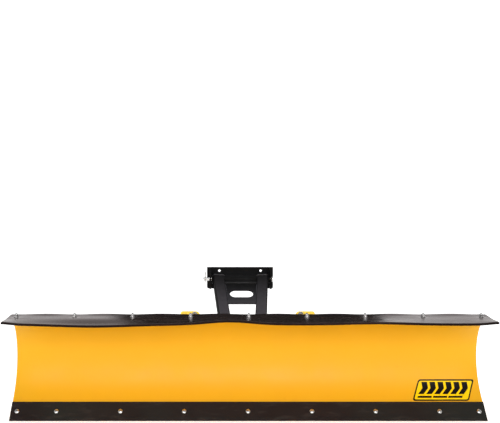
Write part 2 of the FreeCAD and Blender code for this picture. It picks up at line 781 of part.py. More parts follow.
def king_nut():
    top = CROSS_Z - SWIVEL_PLATE - WASHER
    axis = king_axis(top - KING_NUT, top)
    return hexagon(KING_FLATS, *axis).cut(rod(KING_RADIUS, *axis))


def king_washers():
    """One under the head, one over the nut, and one at each end of the barrel."""
    bore = KING_RADIUS + FIT
    feet = [CROSS_TOP + SWIVEL_PLATE, CROSS_Z - SWIVEL_PLATE - WASHER, CROSS_Z, CROSS_TOP - WASHER]
    return Part.makeCompound([ring(BARREL_RADIUS, bore, *king_axis(z, z + WASHER)) for z in feet])


# ---- push frame ----

SPLAY = math.atan2(TUBE_REAR[0] - TUBE_FRONT[0], TUBE_REAR[1] - TUBE_FRONT[1])


def lift_place(x):
    return point(x, LIFT_Y, LIFT_Z)


def tube_prism(sign, half, overrun):
    """A push tube as a solid bar: level from its front end, then bent up towards the lift axis."""
    bend = (BEND_Y - TUBE_FRONT[1]) / math.cos(SPLAY)
    end = (LIFT_Y - TUBE_FRONT[1]) / math.cos(SPLAY)
    rise = math.atan2(LIFT_Z - TUBE_Z, end - bend)
    up = side(-math.sin(rise), math.cos(rise)) * half
    mitre = side(-math.tan(rise / 2), 1) * half
    start = side(-overrun, TUBE_Z)
    corner = side(bend, TUBE_Z)
    finish = side(end, LIFT_Z) + side(math.cos(rise), math.sin(rise)) * (overrun - TUBE_REAR_GAP)
    face = outline(
        start + side(0, half),
        corner + mitre,
        finish + up,
        finish - up,
        corner - mitre,
        start - side(0, half),
    )
    bar = across(face, -half, half)
    bar.rotate(point(0, 0, 0), Z_AXIS, -sign * math.degrees(SPLAY))
    bar.translate(point(sign * TUBE_FRONT[0], TUBE_FRONT[1], 0))
    return bar


def push_tube(sign):
    """Square tube, coped at the rear to fit the round cross tube."""
    cope = rod(CROSS_TUBE_RADIUS, lift_place(-SIDE_X), lift_place(SIDE_X))
    hollow = tube_prism(sign, TUBE_HALF - TUBE_WALL, BAR_THROUGH)
    return tube_prism(sign, TUBE_HALF, 0).cut([hollow, cope])


def both_tubes():
    """The space that the two tubes take, for trimming the plates welded between them."""
    return [tube_prism(sign, TUBE_HALF, BAR_THROUGH) for sign in (-1, 1)]


def pivot_plate(z):
    """Welded across the front ends of both tubes, round the barrel."""
    x = KING_NOSE * math.sin(PIVOT_TURN)
    y = KING_Y - KING_NOSE * math.cos(PIVOT_TURN)
    front_x, front_y = PIVOT_FRONT
    rear_x, rear_y = PIVOT_REAR
    face = outline(
        plan(-front_x, front_y),
        plan(-x, y),
        (plan(0, KING_Y - KING_NOSE), plan(x, y)),
        plan(front_x, front_y),
        plan(rear_x, rear_y),
        plan(-rear_x, rear_y),
    )
    barrel_hole = rod(BARREL_RADIUS, *king_axis(z - THROUGH, z + PIVOT_PLATE + THROUGH))
    return upright(face, z, z + PIVOT_PLATE).cut(barrel_hole)


def pivot_barrel():
    return ring(BARREL_RADIUS, KING_RADIUS + FIT, *king_axis(CROSS_Z + WASHER, CROSS_TOP - WASHER))


def gusset_plate():
    """Lies between the sloping tubes, with an oblong hole to carry the frame by."""
    rise = math.atan2(LIFT_Z - TUBE_Z, LIFT_Y - BEND_Y)
    front, rear = [(y - BEND_Y) / math.cos(rise) for y in GUSSET_Y]
    reach = TUBE_REAR[0]
    plate = Part.makeBox(2 * reach, rear - front, GUSSET, point(-reach, front, GUSSET_DROP))
    length, width = GUSSET_HOLE
    middle = (front + rear) / 2
    straight = (length - width) / 2
    low = GUSSET_DROP - THROUGH
    deep = GUSSET + 2 * THROUGH
    hole = Part.makeBox(2 * straight, width, deep, point(-straight, middle - width / 2, low))
    for x in (-straight, straight):
        hole = hole.fuse(rod(width / 2, point(x, middle, low), point(x, middle, low + deep)))
    plate = plate.cut(hole)
    plate.rotate(point(0, 0, 0), X_AXIS, math.degrees(rise))
    plate.translate(side(BEND_Y, TUBE_Z))
    return plate.cut(both_tubes())


def rear_cross_tube():
    return ring(CROSS_TUBE_RADIUS, CROSS_TUBE_BORE, lift_place(-CROSS_TUBE_HALF), lift_place(CROSS_TUBE_HALF))


def cross_tube_bush(sign):
    inner = lift_place(sign * (CROSS_TUBE_HALF - BUSH_LENGTH))
    return ring(CROSS_TUBE_BORE, PIN_RADIUS + FIT, inner, lift_place(sign * CROSS_TUBE_HALF))


def lock_axis(z_from, z_to):
    return point(0, LOCK_Y, z_from), point(0, LOCK_Y, z_to)


def lock_bridge():
    """A level plate between the tubes that holds the lock housing and the lift lug."""
    front, rear = BRIDGE_Y
    reach = TUBE_FRONT[0]
    plate = Part.makeBox(2 * reach, rear - front, BRIDGE, point(-reach, front, BRIDGE_Z))
    housing = rod(HOUSING_RADIUS, *lock_axis(BRIDGE_Z - THROUGH, BRIDGE_Z + BRIDGE + THROUGH))
    return plate.cut(both_tubes() + [housing])


def lock_housing():
    """Guides the lock pin and holds its spring."""
    low, high = HOUSING_Z
    body = rod(HOUSING_RADIUS, *lock_axis(low, high))
    guide = rod(LOCK_PIN_RADIUS + FIT, *lock_axis(low, high))
    return body.cut([guide, rod(CHAMBER_RADIUS, *lock_axis(CHAMBER_Z, high))])


def lock_cap():
    low = HOUSING_Z[1]
    return ring(HOUSING_RADIUS, LOCK_PIN_RADIUS + FIT, *lock_axis(low, low + CAP))


def lock_spring():
    """The outer shape of the spring that pushes the pin down."""
    return ring(*LOCK_SPRING, *lock_axis(COLLAR_Z[1], HOUSING_Z[1]))


def lift_lug():
    """The eye that the lifting hook takes."""
    base = BRIDGE_Z + BRIDGE
    face = outline(
        side(LUG_Y - LUG_REACH, base),
        side(LUG_Y + LUG_REACH, base),
        side(LUG_Y + LUG_REACH, LUG_Z),
        (side(LUG_Y, LUG_Z + LUG_REACH), side(LUG_Y - LUG_REACH, LUG_Z)),
    )
    reach = LUG_HALF + THROUGH
    eye = rod(LUG_HOLE, point(-reach, LUG_Y, LUG_Z), point(reach, LUG_Y, LUG_Z))
    return across(face, -LUG_HALF, LUG_HALF).cut(eye)


def lock_pin():
    low, high = LOCK_PIN_Z
    inset, rise = PIN_TIP
    tip = Part.makeCone(LOCK_PIN_RADIUS - inset, LOCK_PIN_RADIUS, rise, point(0, LOCK_Y, low), Z_AXIS)
    collar = rod(COLLAR_RADIUS, *lock_axis(*COLLAR_Z))
    return rod(LOCK_PIN_RADIUS, *lock_axis(low + rise, high)).fuse([tip, collar])


def lock_handle():
    """A T handle on top of the pin."""
    top = LOCK_PIN_Z[1]
    radius, below, above = HANDLE_HUB
    hub = rod(radius, *lock_axis(top - below, top + above))
    height = top + HANDLE_RISE
    bar = rod(HANDLE_RADIUS, point(-HANDLE_HALF, LOCK_Y, height), point(HANDLE_HALF, LOCK_Y, height))
    return hub.fuse(bar).cut(rod(LOCK_PIN_RADIUS, *lock_axis(top - below, top)))


# ---- vehicle bracket ----

def mount_side(sign):
    """A cheek of the bracket, with the hitch pin's hole."""
    front, rear = SIDE_Y
    low, high = SIDE_Z
    corner = CHEEK_CORNER
    bevel = rounded(corner)
    face = outline(
        side(front + corner, low),
        side(rear, low),
        side(rear, high),
        side(front + corner, high),
        (side(front + bevel, high - bevel), side(front, high - corner)),
        side(front, low + corner),
        (side(front + bevel, low + bevel), side(front + corner, low)),
    )
    inner = lift_place(sign * (SIDE_X - THROUGH))
    pin_hole = rod(PIN_RADIUS + FIT, inner, lift_place(sign * (CHEEK_X + THROUGH)))
    return across(face, sign * SIDE_X, sign * CHEEK_X).cut(pin_hole)


def mount_back_plate():
    """Bolts to the vehicle's frame."""
    low, high = SIDE_Z
    front = SIDE_Y[1]
    bevel = rounded(BACK_CORNER)
    left = point(-BACK_HALF, front, BACK_LOW_Z)
    right = point(BACK_HALF, front, BACK_LOW_Z)
    face = outline(
        left + point(BACK_CORNER, 0, 0),
        right - point(BACK_CORNER, 0, 0),
        (right + point(-bevel, 0, bevel), right + point(0, 0, BACK_CORNER)),
        point(BACK_HALF, front, high),
        point(-BACK_HALF, front, high),
        left + point(0, 0, BACK_CORNER),
        (left + point(bevel, 0, bevel), left + point(BACK_CORNER, 0, 0)),
    )
    plate = face.extrude(side(SIDE, 0))
    holes = []
    for x in (-BACK_BOLTS[0], BACK_BOLTS[0]):
        for z in (-BACK_BOLTS[1], BACK_BOLTS[1]):
            start = point(x, front - THROUGH, (low + high) / 2 + z)
            holes.append(rod(BACK_HOLE, start, start + side(SIDE + 2 * THROUGH, 0)))
    return plate.cut(holes)


def hitch_pin():
    """One long pin through both cheeks and the cross tube, with its head on the right."""
    radius, thickness = HITCH_HEAD
    pin = rod(PIN_RADIUS, lift_place(-CHEEK_X - HITCH_TAIL), lift_place(CHEEK_X))
    head = rod(radius, lift_place(CHEEK_X), lift_place(CHEEK_X + thickness))
    hole = clip_hole(PIN_RADIUS, CLIP_WIRE, lift_place(-CHEEK_X - HITCH_CLIP_PLACE))
    return pin.fuse(head).cut(hole)


def hitch_clip():
    return ring_clip(PIN_RADIUS, HITCH_CLIP_WIRE, lift_place(-CHEEK_X - HITCH_CLIP_PLACE))


# ---- the nodes: single ones and pairs in one node, and those with a left and a right node ----

def pivot_plate_top():
    return pivot_plate(TUBE_Z + TUBE_HALF)


def pivot_plate_bottom():
    return pivot_plate(TUBE_Z - TUBE_HALF - PIVOT_PLATE)


def hinge_rib_inner(sign):
    return hinge_rib(sign, INNER_RIB_X)


def hinge_rib_outer(sign):
    return hinge_rib(sign, OUTER_RIB_X)


def mid_rib(sign):
    return curved_rib(sign, MID_RIB_X)


def end_rib(sign):
    return curved_rib(sign, END_RIB_X)


SINGLE = [
    moldboard, wear_bar, backing_bar, wear_bar_bolts, wear_bar_nuts,
    deflector_flap, flap_bolts, flap_washers, flap_nuts,
    swivel_crossbar, swivel_plate, sector_plate, king_bolt, king_nut, king_washers,
    pivot_plate_top, pivot_plate_bottom, pivot_barrel, gusset_plate, rear_cross_tube,
    lock_bridge, lock_housing, lock_cap, lock_spring, lock_pin, lock_handle, lift_lug,
    mount_back_plate, hitch_pin, hitch_clip,
]
PAIRS_IN_ONE_NODE = [
    mid_rib, end_rib, skid_set_bolt, spring_eye_bolt, spring_eye_nut, trip_pin, trip_pin_clip,
    cross_tube_bush,
]
LEFT_AND_RIGHT = [
    hinge_rib_inner, hinge_rib_outer, skid_bracket, skid_shoe, spring_tab, hinge_arm, spring_arm, trip_spring,
    push_tube, mount_side,
]


def plural(name):
    return name + ("es" if name.endswith("sh") else "s")


def write(name, shape):
    shape.exportStep(f"parts/{name}.step")


os.makedirs("parts", exist_ok=True)
for make in SINGLE:
    write(make.__name__, make())
for make in PAIRS_IN_ONE_NODE:
    write(plural(make.__name__), both_sides(make))
for make in LEFT_AND_RIGHT:
    write(f"{make.__name__}_left", make(-1))
    write(f"{make.__name__}_right", make(1))
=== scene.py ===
import json
import math

import bmesh
import bpy
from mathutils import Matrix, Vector

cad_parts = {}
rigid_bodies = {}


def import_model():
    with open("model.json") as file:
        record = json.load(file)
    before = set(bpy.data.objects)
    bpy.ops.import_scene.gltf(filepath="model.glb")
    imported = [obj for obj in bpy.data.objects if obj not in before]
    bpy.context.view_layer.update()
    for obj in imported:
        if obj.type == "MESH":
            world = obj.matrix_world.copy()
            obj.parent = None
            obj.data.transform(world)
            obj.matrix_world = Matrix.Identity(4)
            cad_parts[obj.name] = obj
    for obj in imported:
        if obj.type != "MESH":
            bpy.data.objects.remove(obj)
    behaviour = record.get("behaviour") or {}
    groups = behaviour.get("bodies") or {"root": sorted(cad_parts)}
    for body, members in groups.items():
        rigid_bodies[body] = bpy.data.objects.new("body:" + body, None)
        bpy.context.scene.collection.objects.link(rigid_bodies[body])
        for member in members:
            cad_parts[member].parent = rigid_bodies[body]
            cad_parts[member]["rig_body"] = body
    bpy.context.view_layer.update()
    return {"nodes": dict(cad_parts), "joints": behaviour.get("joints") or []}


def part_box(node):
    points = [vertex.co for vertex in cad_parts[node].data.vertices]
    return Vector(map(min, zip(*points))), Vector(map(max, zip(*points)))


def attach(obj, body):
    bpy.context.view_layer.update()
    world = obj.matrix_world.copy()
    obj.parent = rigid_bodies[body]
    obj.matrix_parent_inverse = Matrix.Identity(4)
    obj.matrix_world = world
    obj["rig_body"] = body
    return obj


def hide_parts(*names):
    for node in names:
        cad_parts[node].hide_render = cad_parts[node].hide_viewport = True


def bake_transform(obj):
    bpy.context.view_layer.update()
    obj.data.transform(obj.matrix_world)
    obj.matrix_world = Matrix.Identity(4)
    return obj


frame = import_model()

NODES = frame["nodes"]
MM = 0.001

# ---- the blade's side profile ----
LEAN = math.radians(42)
BAR_THICKNESS = 6.35 * MM
SHEET = 3.0 * MM
BACKING_THICKNESS = 6.35 * MM
ROLL_RADIUS = 203 * MM
ROLL_CENTRE_Z = 213 * MM
ROLL_TOP = math.radians(64.5)
FLANGE_FOOT = 14 * MM
LIP_RADIUS = 14 * MM
LIP_TILT = math.radians(3)
LIP_LENGTH = 61 * MM
FLAP_THICKNESS = 8 * MM
FLAP_DEPTH = 117 * MM
FLAP_REAR_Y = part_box("deflector_flap")[1].y
HALF_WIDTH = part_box("moldboard")[1].x
# The waves of the flap's front edge, in millimetres: the height, middle and half width of each.
FLAP_WAVES = ((-8, -580, 200), (11.5, -75, 115), (4.5, 460, 140), (-1, 760, 120))
FLAP_TIP_RISE = 5 * MM
FLAP_TIP_RUN = 45 * MM
LAND = BAR_THICKNESS / math.cos(LEAN)

# ---- fasteners ----
BOLT_RADIUS = 3.97 * MM
THREAD_PITCH = 1.41 * MM
THREAD_DEPTH = 0.7 * MM
HEAD_RADIUS = 8.9 * MM
HEAD_HEIGHT = 4.5 * MM
NUT_FLATS = 12.7 * MM
NUT_BORE = BOLT_RADIUS - 0.3 * MM
WASHER_RADIUS = 8.9 * MM
BAR_BOLT_UP = 32.4 * MM
BAR_BOLTS = sorted({sign * place * MM for place in (0, 246, 491.5, 738, 890) for sign in (-1, 1)})
FLAP_BOLT_PITCH = 219.6 * MM
FLAP_BOLTS = [n * FLAP_BOLT_PITCH for n in range(-4, 5)]
FLAP_BOLT_Y = -34 * MM

# ---- ribs, swivel and push frame ----
RIB = 6 * MM
EDGE_ROUND = 0.9 * MM
RIB_FOOT = math.radians(-36)
RIB_HEAD = math.radians(47)
RIB_PLACES = [226 * MM, 250 * MM, 440 * MM, 637 * MM, 880 * MM]
EYE_X = 206 * MM
EYE_Y = 76 * MM
EYE_Z = 374 * MM
EYE_RADIUS = 10 * MM
EYE_WIRE = 4 * MM
ANCHOR_Y = 262 * MM
ANCHOR_Z = 240 * MM
TAB_AWAY = 27.5 * MM
SPRING_RADIUS = 14.5 * MM
SPRING_WIRE = 2.5 * MM
UPPER_LOOP = 9 * MM
LOWER_LOOP = 11 * MM
TRIP_Y = 160 * MM
TRIP_Z = 85 * MM
TRIP_PIN_X = 226 * MM
SKID_X = 640 * MM
SKID_Y = 182 * MM
SET_BOLT_REACH = 12.9 * MM
SET_BOLT_Z = 150 * MM
KING_Y = 285 * MM
LOCK_Y = 400 * MM
TUBE_HALF = 25.4 * MM
TUBE_WALL = 4.8 * MM
TUBE_CORNER = 5 * MM
TUBE_FRONT = (58 * MM, 250 * MM)
TUBE_REAR = (105 * MM, 745 * MM)
TUBE_Z = 190 * MM
BEND_Y = 338 * MM
LIFT = Vector(next(joint["pos_m"] for joint in frame["joints"] if joint["name"] == "lift"))
CROSS_TUBE_RADIUS = 19.05 * MM
CROSS_TUBE_BORE = 12.7 * MM

# ---- welds and decal ----
BEAD_RADIUS = 2.6 * MM
THICK_BEAD = 3.2 * MM
DECAL_LEFT = 642 * MM
DECAL_WIDTH = 220 * MM
DECAL_SLANT = 36 * MM
DECAL_FOOT = 76.6 * MM
DECAL_HEIGHT = 85 * MM
FILM = 0.10 * MM

X_AXIS = Vector((1, 0, 0))
Y_AXIS = Vector((0, 1, 0))
Z_AXIS = Vector((0, 0, 1))


def side(y, z):
    return Vector((0, y, z))


def turned(angle):
    """A direction of a side view, at an angle above +Y."""
    return side(math.cos(angle), math.sin(angle))


SLOPE = side(math.sin(LEAN), math.cos(LEAN))
FORWARD = side(-math.cos(LEAN), math.sin(LEAN))
LIP = side(-math.cos(LIP_TILT), -math.sin(LIP_TILT))
LIP_UP = side(-math.sin(LIP_TILT), math.cos(LIP_TILT))
FOOT = side(LAND / 2, 0)
FLANGE_LENGTH = (ROLL_CENTRE_Z - ROLL_RADIUS * math.sin(LEAN)) / math.cos(LEAN)
ROLL_CENTRE = FOOT + SLOPE * FLANGE_LENGTH + FORWARD * ROLL_RADIUS
LIP_CENTRE = ROLL_CENTRE + turned(ROLL_TOP) * (ROLL_RADIUS - LIP_RADIUS)
LIP_ANGLE = math.pi / 2 + LIP_TILT


def face_point(x, along, out):
    """A point of the moldboard's face: along runs up the face from the ground, out is in front of it."""
    across = Vector((x, 0, 0))
    if along < FLANGE_LENGTH:
        return across + FOOT + SLOPE * along + FORWARD * out
    angle = (along - FLANGE_LENGTH) / ROLL_RADIUS - LEAN
    return across + ROLL_CENTRE + turned(angle) * (ROLL_RADIUS - out)


def on_lip(x, y, above):
    """A point above the lip's upper face, at a given Y."""
    start = LIP_CENTRE + turned(LIP_ANGLE) * (LIP_RADIUS + SHEET)
    return Vector((x, 0, 0)) + start + LIP * ((start.y - y) / math.cos(LIP_TILT)) + LIP_UP * above


PULL = side(EYE_Y - ANCHOR_Y, EYE_Z - ANCHOR_Z).normalized()    # from a trip spring's anchor to its eye


def eye_place(x, ahead):
    """A point ahead of a trip spring's eye, on the spring's line."""
    return Vector((x, EYE_Y, EYE_Z)) + PULL * ahead


def tab_foot(ahead):
    """Where a face of a spring tab meets the sheet, as an angle of the roll."""
    up = side(PULL.z, -PULL.y)
    start = eye_place(0, TAB_AWAY + ahead) - ROLL_CENTRE
    along = start.dot(up)
    reach = ROLL_RADIUS + SHEET
    foot = start + up * (math.sqrt(along ** 2 - start.dot(start) + reach ** 2) - along)
    return math.atan2(foot.z, foot.y)


def rear_point(x, angle, behind):
    """A point behind the rolled sheet."""
    return Vector((x, 0, 0)) + ROLL_CENTRE + turned(angle) * (ROLL_RADIUS + SHEET + behind)


# ---- materials ----

class Nodes:
    """A node tree, with short ways to add what is needed here. place is a texture coordinate."""

    def __init__(self, tree, place):
        self.tree = tree
        self.place = tree.nodes.new("ShaderNodeTexCoord").outputs[place]

    def put(self, node, socket, value):
        """Sets a node's input, or joins it to another node's output."""
        if isinstance(value, bpy.types.NodeSocket):
            self.tree.links.new(value, node.inputs[socket])
        else:
            node.inputs[socket].default_value = value

    def along(self, axis):
        """The place along one axis."""
        split = self.tree.nodes.new("ShaderNodeSeparateXYZ")
        self.put(split, 0, self.place)
        return split.outputs[axis]

    def span(self, value, low, high, to_low=0.0, to_high=1.0):
        node = self.tree.nodes.new("ShaderNodeMapRange")
        node.interpolation_type = "SMOOTHSTEP"
        for socket, number in zip(("Value", "From Min", "From Max", "To Min", "To Max"),
                                  (value, low, high, to_low, to_high)):
            self.put(node, socket, number)
        return node.outputs["Result"]

    def math(self, operation, *values):
        node = self.tree.nodes.new("ShaderNodeMath")
        node.operation = operation
        for i, value in enumerate(values):
            self.put(node, i, value)
        return node.outputs[0]


class Shader(Nodes):
    """A material, patterned in the object's own space."""

    def __init__(self, name, **constants):
        self.material = bpy.data.materials.new(name)
        self.material.use_nodes = True
        super().__init__(self.material.node_tree, "Object")
        self.bsdf = self.tree.nodes["Principled BSDF"]
        for socket, value in constants.items():
            self.set(socket.replace("_", " "), value)

    def set(self, socket, value):
        self.put(self.bsdf, socket, value)

    def noise(self, scale, detail, stretch=(1, 1, 1)):
        mapping = self.tree.nodes.new("ShaderNodeMapping")
        self.put(mapping, "Vector", self.place)
        self.put(mapping, "Scale", stretch)
        noise = self.tree.nodes.new("ShaderNodeTexNoise")
        self.put(noise, "Vector", mapping.outputs[0])
        self.put(noise, "Scale", scale)
        self.put(noise, "Detail", detail)
        return noise.outputs["Fac"]

    def mix(self, factor, low, high):
        node = self.tree.nodes.new("ShaderNodeMix")
        node.data_type = "RGBA"
        self.put(node, 0, factor)
        self.put(node, 6, low)
        self.put(node, 7, high)
        return node.outputs[2]

    def finish(self, base, patches, rough, grain, depth, strength):
        """Sets the colour, a patchy roughness between two values and a fine grain, and gives the material.

        patches and grain each hold a noise's scale and detail, and its stretch if it has one.
        """
        self.set("Base Color", base)
        self.set("Roughness", self.span(self.noise(*patches), 0.3, 0.7, *rough))
        bump = self.tree.nodes.new("ShaderNodeBump")
        self.put(bump, "Height", self.noise(*grain))
        self.put(bump, "Distance", depth)
        self.put(bump, "Strength", strength)
        self.set("Normal", bump.outputs[0])
        return self.material


def colour(red, green, blue):
    """A surface's colour from 0 to 255 steps of sRGB."""
    def linear(step):
        part = step / 255
        return part / 12.92 if part <= 0.04045 else ((part + 0.055) / 1.055) ** 2.4
    return (linear(red), linear(green), linear(blue), 1.0)


def yellow_paint(name, low, high):
    """Orange-yellow powder coat: a fine orange peel and a slight unevenness of tone."""
    made = Shader(name, Specular_IOR_Level=0.32)
    tone = made.mix(made.noise(2.2, 2), low, high)
    grime = made.span(made.noise(38, 5), 0.62, 0.80, 0, 0.10)
    base = made.mix(grime, tone, colour(196, 122, 20))
    return made.finish(base, (14, 4), (0.44, 0.56), (430, 2), 0.12 * MM, 0.6)


def black_paint(name, shade, rough, shine):
    """Black satin paint on steel with a little dust."""
    made = Shader(name, Specular_IOR_Level=shine)
    dust = made.span(made.noise(9, 6), 0.45, 0.75, 0, 0.4)
    dusty = [channel * 1.8 + 0.002 for channel in shade[:3]] + [1.0]
    base = made.mix(dust, shade, dusty)
    return made.finish(base, (45, 5), (rough - 0.07, rough + 0.08), (520, 3), 0.10 * MM, 0.6)


def shaded_black_paint(name, lit_tone, shaded_tone, low, high, shine):
    """Black paint with painted shade: it darkens upwards between two heights, from its first colour to its
    second.
    """
    made = Shader(name, Specular_IOR_Level=shine)
    base = made.mix(made.span(made.along("Z"), low, high), lit_tone, shaded_tone)
    return made.finish(base, (45, 5), (0.52, 0.68), (520, 3), 0.10 * MM, 0.6)


def wear_bar_paint():
    """Black paint, scuffed in streaks and rubbed to bare steel along the cutting edge."""
    made = Shader("wear_bar_paint", Specular_IOR_Level=0.2)
    tone = made.mix(made.span(made.noise(1.7, 2), 0.42, 0.60), colour(29, 20, 18), colour(30, 30, 27))
    scuff = made.span(made.noise(60, 6, (0.25, 1, 1)), 0.54, 0.72, 0, 0.5)
    paint = made.mix(scuff, tone, colour(48, 42, 38))
    edge = made.span(made.along("Z"), 0.1 * MM, 1.0 * MM, 1, 0)
    bare = made.math("MULTIPLY", edge, made.span(made.noise(90, 5), 0.35, 0.6))
    made.set("Metallic", bare)
    base = made.mix(bare, paint, colour(150, 146, 142))
    return made.finish(base, (50, 5, (0.3, 1, 1)), (0.40, 0.58), (300, 5, (0.35, 1, 1)), 0.15 * MM, 0.7)


def rubber(name, shine, rough):
    """Dark belting rubber with streaks along it."""
    made = Shader(name, Specular_IOR_Level=shine, Specular_Tint=(1.0, 0.76, 0.74, 1.0))
    streaks = made.span(made.noise(22, 6, (0.12, 1, 1)), 0.38, 0.68)
    base = made.mix(streaks, colour(15, 8, 6), colour(34, 23, 20))
    patches = (70, 5, (0.2, 1, 1))
    return made.finish(base, patches, (rough - 0.06, rough + 0.06), (260, 5, (0.25, 1, 1)), 0.10 * MM, 0.6)


def metal(name, low, high, scales, rough, depth, **constants):
    """Bare or plated metal, slightly uneven. scales are those of its tone, its roughness and its grain."""
    made = Shader(name, **constants)
    tone, patches, grain = scales
    base = made.mix(made.noise(tone, 4), low, high)
    return made.finish(base, (patches, 4), rough, (grain, 2), depth, 0.4)


def vinyl(name, tone, other):
    """Printed vinyl film, smoother than the paint under it."""
    made = Shader(name, Specular_IOR_Level=0.2)
    base = made.mix(made.noise(30, 3), tone, other)
    return made.finish(base, (60, 3), (0.30, 0.40), (500, 2), 0.02 * MM, 0.4)


FINISH = {
    "blade_paint": yellow_paint("blade_powder_coat", colour(229, 166, 10), colour(235, 173, 14)),
    "frame_paint": black_paint("frame_powder_coat", colour(36, 35, 41), 0.46, 0.5),
    "wear_bar_paint": wear_bar_paint(),
    "flap_rubber": rubber("flap_rubber", 1.0, 0.25),
    "zinc_fasteners": metal("zinc_plate", colour(186, 188, 192), colour(206, 205, 200), (120, 240, 900),
                            (0.18, 0.32), 0.03 * MM, Metallic=1.0),
    "spring_steel": metal("spring_steel", colour(96, 98, 102), colour(138, 138, 140), (160, 300, 1200),
                          (0.26, 0.42), 0.02 * MM, Metallic=0.9, Coat_Weight=0.3, Coat_Roughness=0.2),
    "bush_bronze": metal("bush_bronze", colour(176, 126, 70), colour(196, 148, 92), (200, 300, 900),
                         (0.30, 0.46), 0.03 * MM, Metallic=1.0),
}
CUT_RUBBER = rubber("cut_rubber", 0.1, 0.6)
# Painted light: the spring tabs get the blade's yellow made lighter, as if they caught more light from above.
TAB_LIT_PAINT = yellow_paint("tab_powder_coat", colour(250, 212, 74), colour(252, 218, 86))
# Painted shade: a black darker than the frame's own paint, for the parts at the rear that stand in shade and
# for the push tubes' sides.
PAINTED_SHADE_BLACK = black_paint("bracket_black_painted_shade", colour(9, 9, 10), 0.62, 0.12)
# Painted shade: the gusset plate's black runs from mid grey at its foot to near black at its top.
PLATE_LOW, PLATE_HIGH = (corner.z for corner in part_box("gusset_plate"))
PLATE_SHADED_PAINT = shaded_black_paint("plate_paint_painted_shade", colour(56, 55, 59), colour(10, 10, 11), PLATE_LOW, PLATE_HIGH, 0.08)
# Painted shade: the push tubes' black grows near black between 300 and 430 mm up, towards their rear ends.
TUBE_SHADED_PAINT = shaded_black_paint("tube_powder_coat", colour(64, 61, 66), colour(5, 5, 6), 300 * MM, 430 * MM, 0.15)
VINYL_BLACK = vinyl("vinyl_black", colour(3, 3, 4), colour(7, 6, 8))
VINYL_YELLOW = vinyl("vinyl_yellow", colour(246, 204, 2), colour(250, 209, 6))


def slot_of(node):
    return NODES[node].data.materials[0].name.split(".")[0]


# Every CAD node gets its finish before anything is replaced.
SLOTS = {node: slot_of(node) for node in NODES}
for node, slot in SLOTS.items():
    NODES[node].material_slots[0].material = FINISH[slot]


# ---- making pieces: a shape is a list of points and a list of faces ----

def joined(name, shapes):
    """One mesh from several closed shapes."""
    verts = []
    faces = []
    for points, corners in shapes:
        base = len(verts)
        verts += points
        faces += [[base + i for i in face] for face in corners]
    mesh = bpy.data.meshes.new(name)
    mesh.from_pydata(verts, [], faces)
    return mesh


def piece(name, shapes, node, sharp=35, material=None, blended=False):
    """An object in place of a CAD node, on the node's own body, or on no body when blended is set.

    It is smooth but for edges sharper than an angle in degrees.
    """
    body = None if blended else NODES[node]["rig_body"]
    return finished(name, joined(name, shapes), body, SLOTS[node], (node,), sharp, material)


def extra(name, shapes, body, slot, sharp=35, material=None):
    """An object that stands for no CAD node."""
    return finished(name, joined(name, shapes), body, slot, (), sharp, material)


def finished(name, mesh, body, slot, replaces, sharp, material):
    """An object from a mesh, with outward normals, its finish and its body; no body leaves it loose."""
    shape = bmesh.new()
    shape.from_mesh(mesh)
    bmesh.ops.recalc_face_normals(shape, faces=shape.faces)
    shape.to_mesh(mesh)
    shape.free()
    mesh.materials.clear()
    mesh.materials.append(material or FINISH[slot])
    mesh.shade_smooth()
    mesh.set_sharp_from_angle(angle=math.radians(sharp))
    made = bpy.data.objects.new(name, mesh)
    bpy.context.scene.collection.objects.link(made)
    if replaces:
        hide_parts(*replaces)
    if body:
        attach(made, body)
    return made


def second_finish(made, material, chosen):
    """Gives a second material to the faces whose normals are chosen."""
    made.data.materials.append(material)
    for face in made.data.polygons:
        if chosen(face.normal):
            face.material_index = 1


def softened(node, material=None):
    """Stands for a CAD node with its hard edges broken by a small round."""
    name = f"{node}_finished"
    shape = bmesh.new()
    shape.from_mesh(NODES[node].data)
    bmesh.ops.remove_doubles(shape, verts=shape.verts, dist=0.001 * MM)
    bmesh.ops.dissolve_limit(shape, angle_limit=math.radians(0.6), verts=shape.verts, edges=shape.edges)
    hard = [edge for edge in shape.edges if edge.is_manifold and edge.calc_face_angle() > math.radians(40)]
    bmesh.ops.bevel(shape, geom=hard, offset=EDGE_ROUND, segments=2, profile=0.5, affect="EDGES",
                    clamp_overlap=True)
    mesh = bpy.data.meshes.new(name)
    shape.to_mesh(mesh)
    shape.free()
    made = finished(name, mesh, NODES[node]["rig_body"], SLOTS[node], (node,), 50, material)
    even = made.modifiers.new("even_flats", "WEIGHTED_NORMAL")
    even.keep_sharp = True
    even.weight = 100


def square_to(axis):
    """Two directions square to an axis and to each other."""
    helper = X_AXIS if abs(axis.normalized().x) < 0.9 else Z_AXIS
    first = axis.cross(helper).normalized()
    return first, axis.normalized().cross(first)


def rings_of(count, around, first=0):
    """The numbers of a shape's points, ring by ring."""
    return [list(range(first + i * around, first + (i + 1) * around)) for i in range(count)]


def spin(rings, steps):
    """Faces between neighbouring rings of points, where a ring of one point is a tip."""
    faces = []
    for low, high in zip(rings, rings[1:]):
        for i in range(steps):
            j = (i + 1) % steps
            if len(low) == 1:
                faces.append((low[0], high[j], high[i]))
            elif len(high) == 1:
                faces.append((low[i], low[j], high[0]))
            else:
                faces.append((low[i], low[j], high[j], high[i]))
    return faces


def spokes(axis, steps):
    """Directions evenly round an axis."""
    first, second = square_to(axis)
    turns = [math.tau * i / steps for i in range(steps)]
    return [first * math.cos(turn) + second * math.sin(turn) for turn in turns]


def lathe(profile, base, axis, steps=32):
    """Turns (radius, height) pairs about an axis."""
    axis = axis.normalized()
    arms = spokes(axis, steps)
    verts = []
    rings = []
    for radius, height in profile:
        start = len(verts)
        middle = base + axis * height
        verts += [middle + arm * radius for arm in arms] if radius else [middle]
        rings.append(list(range(start, len(verts))))
    return verts, spin(rings, steps)


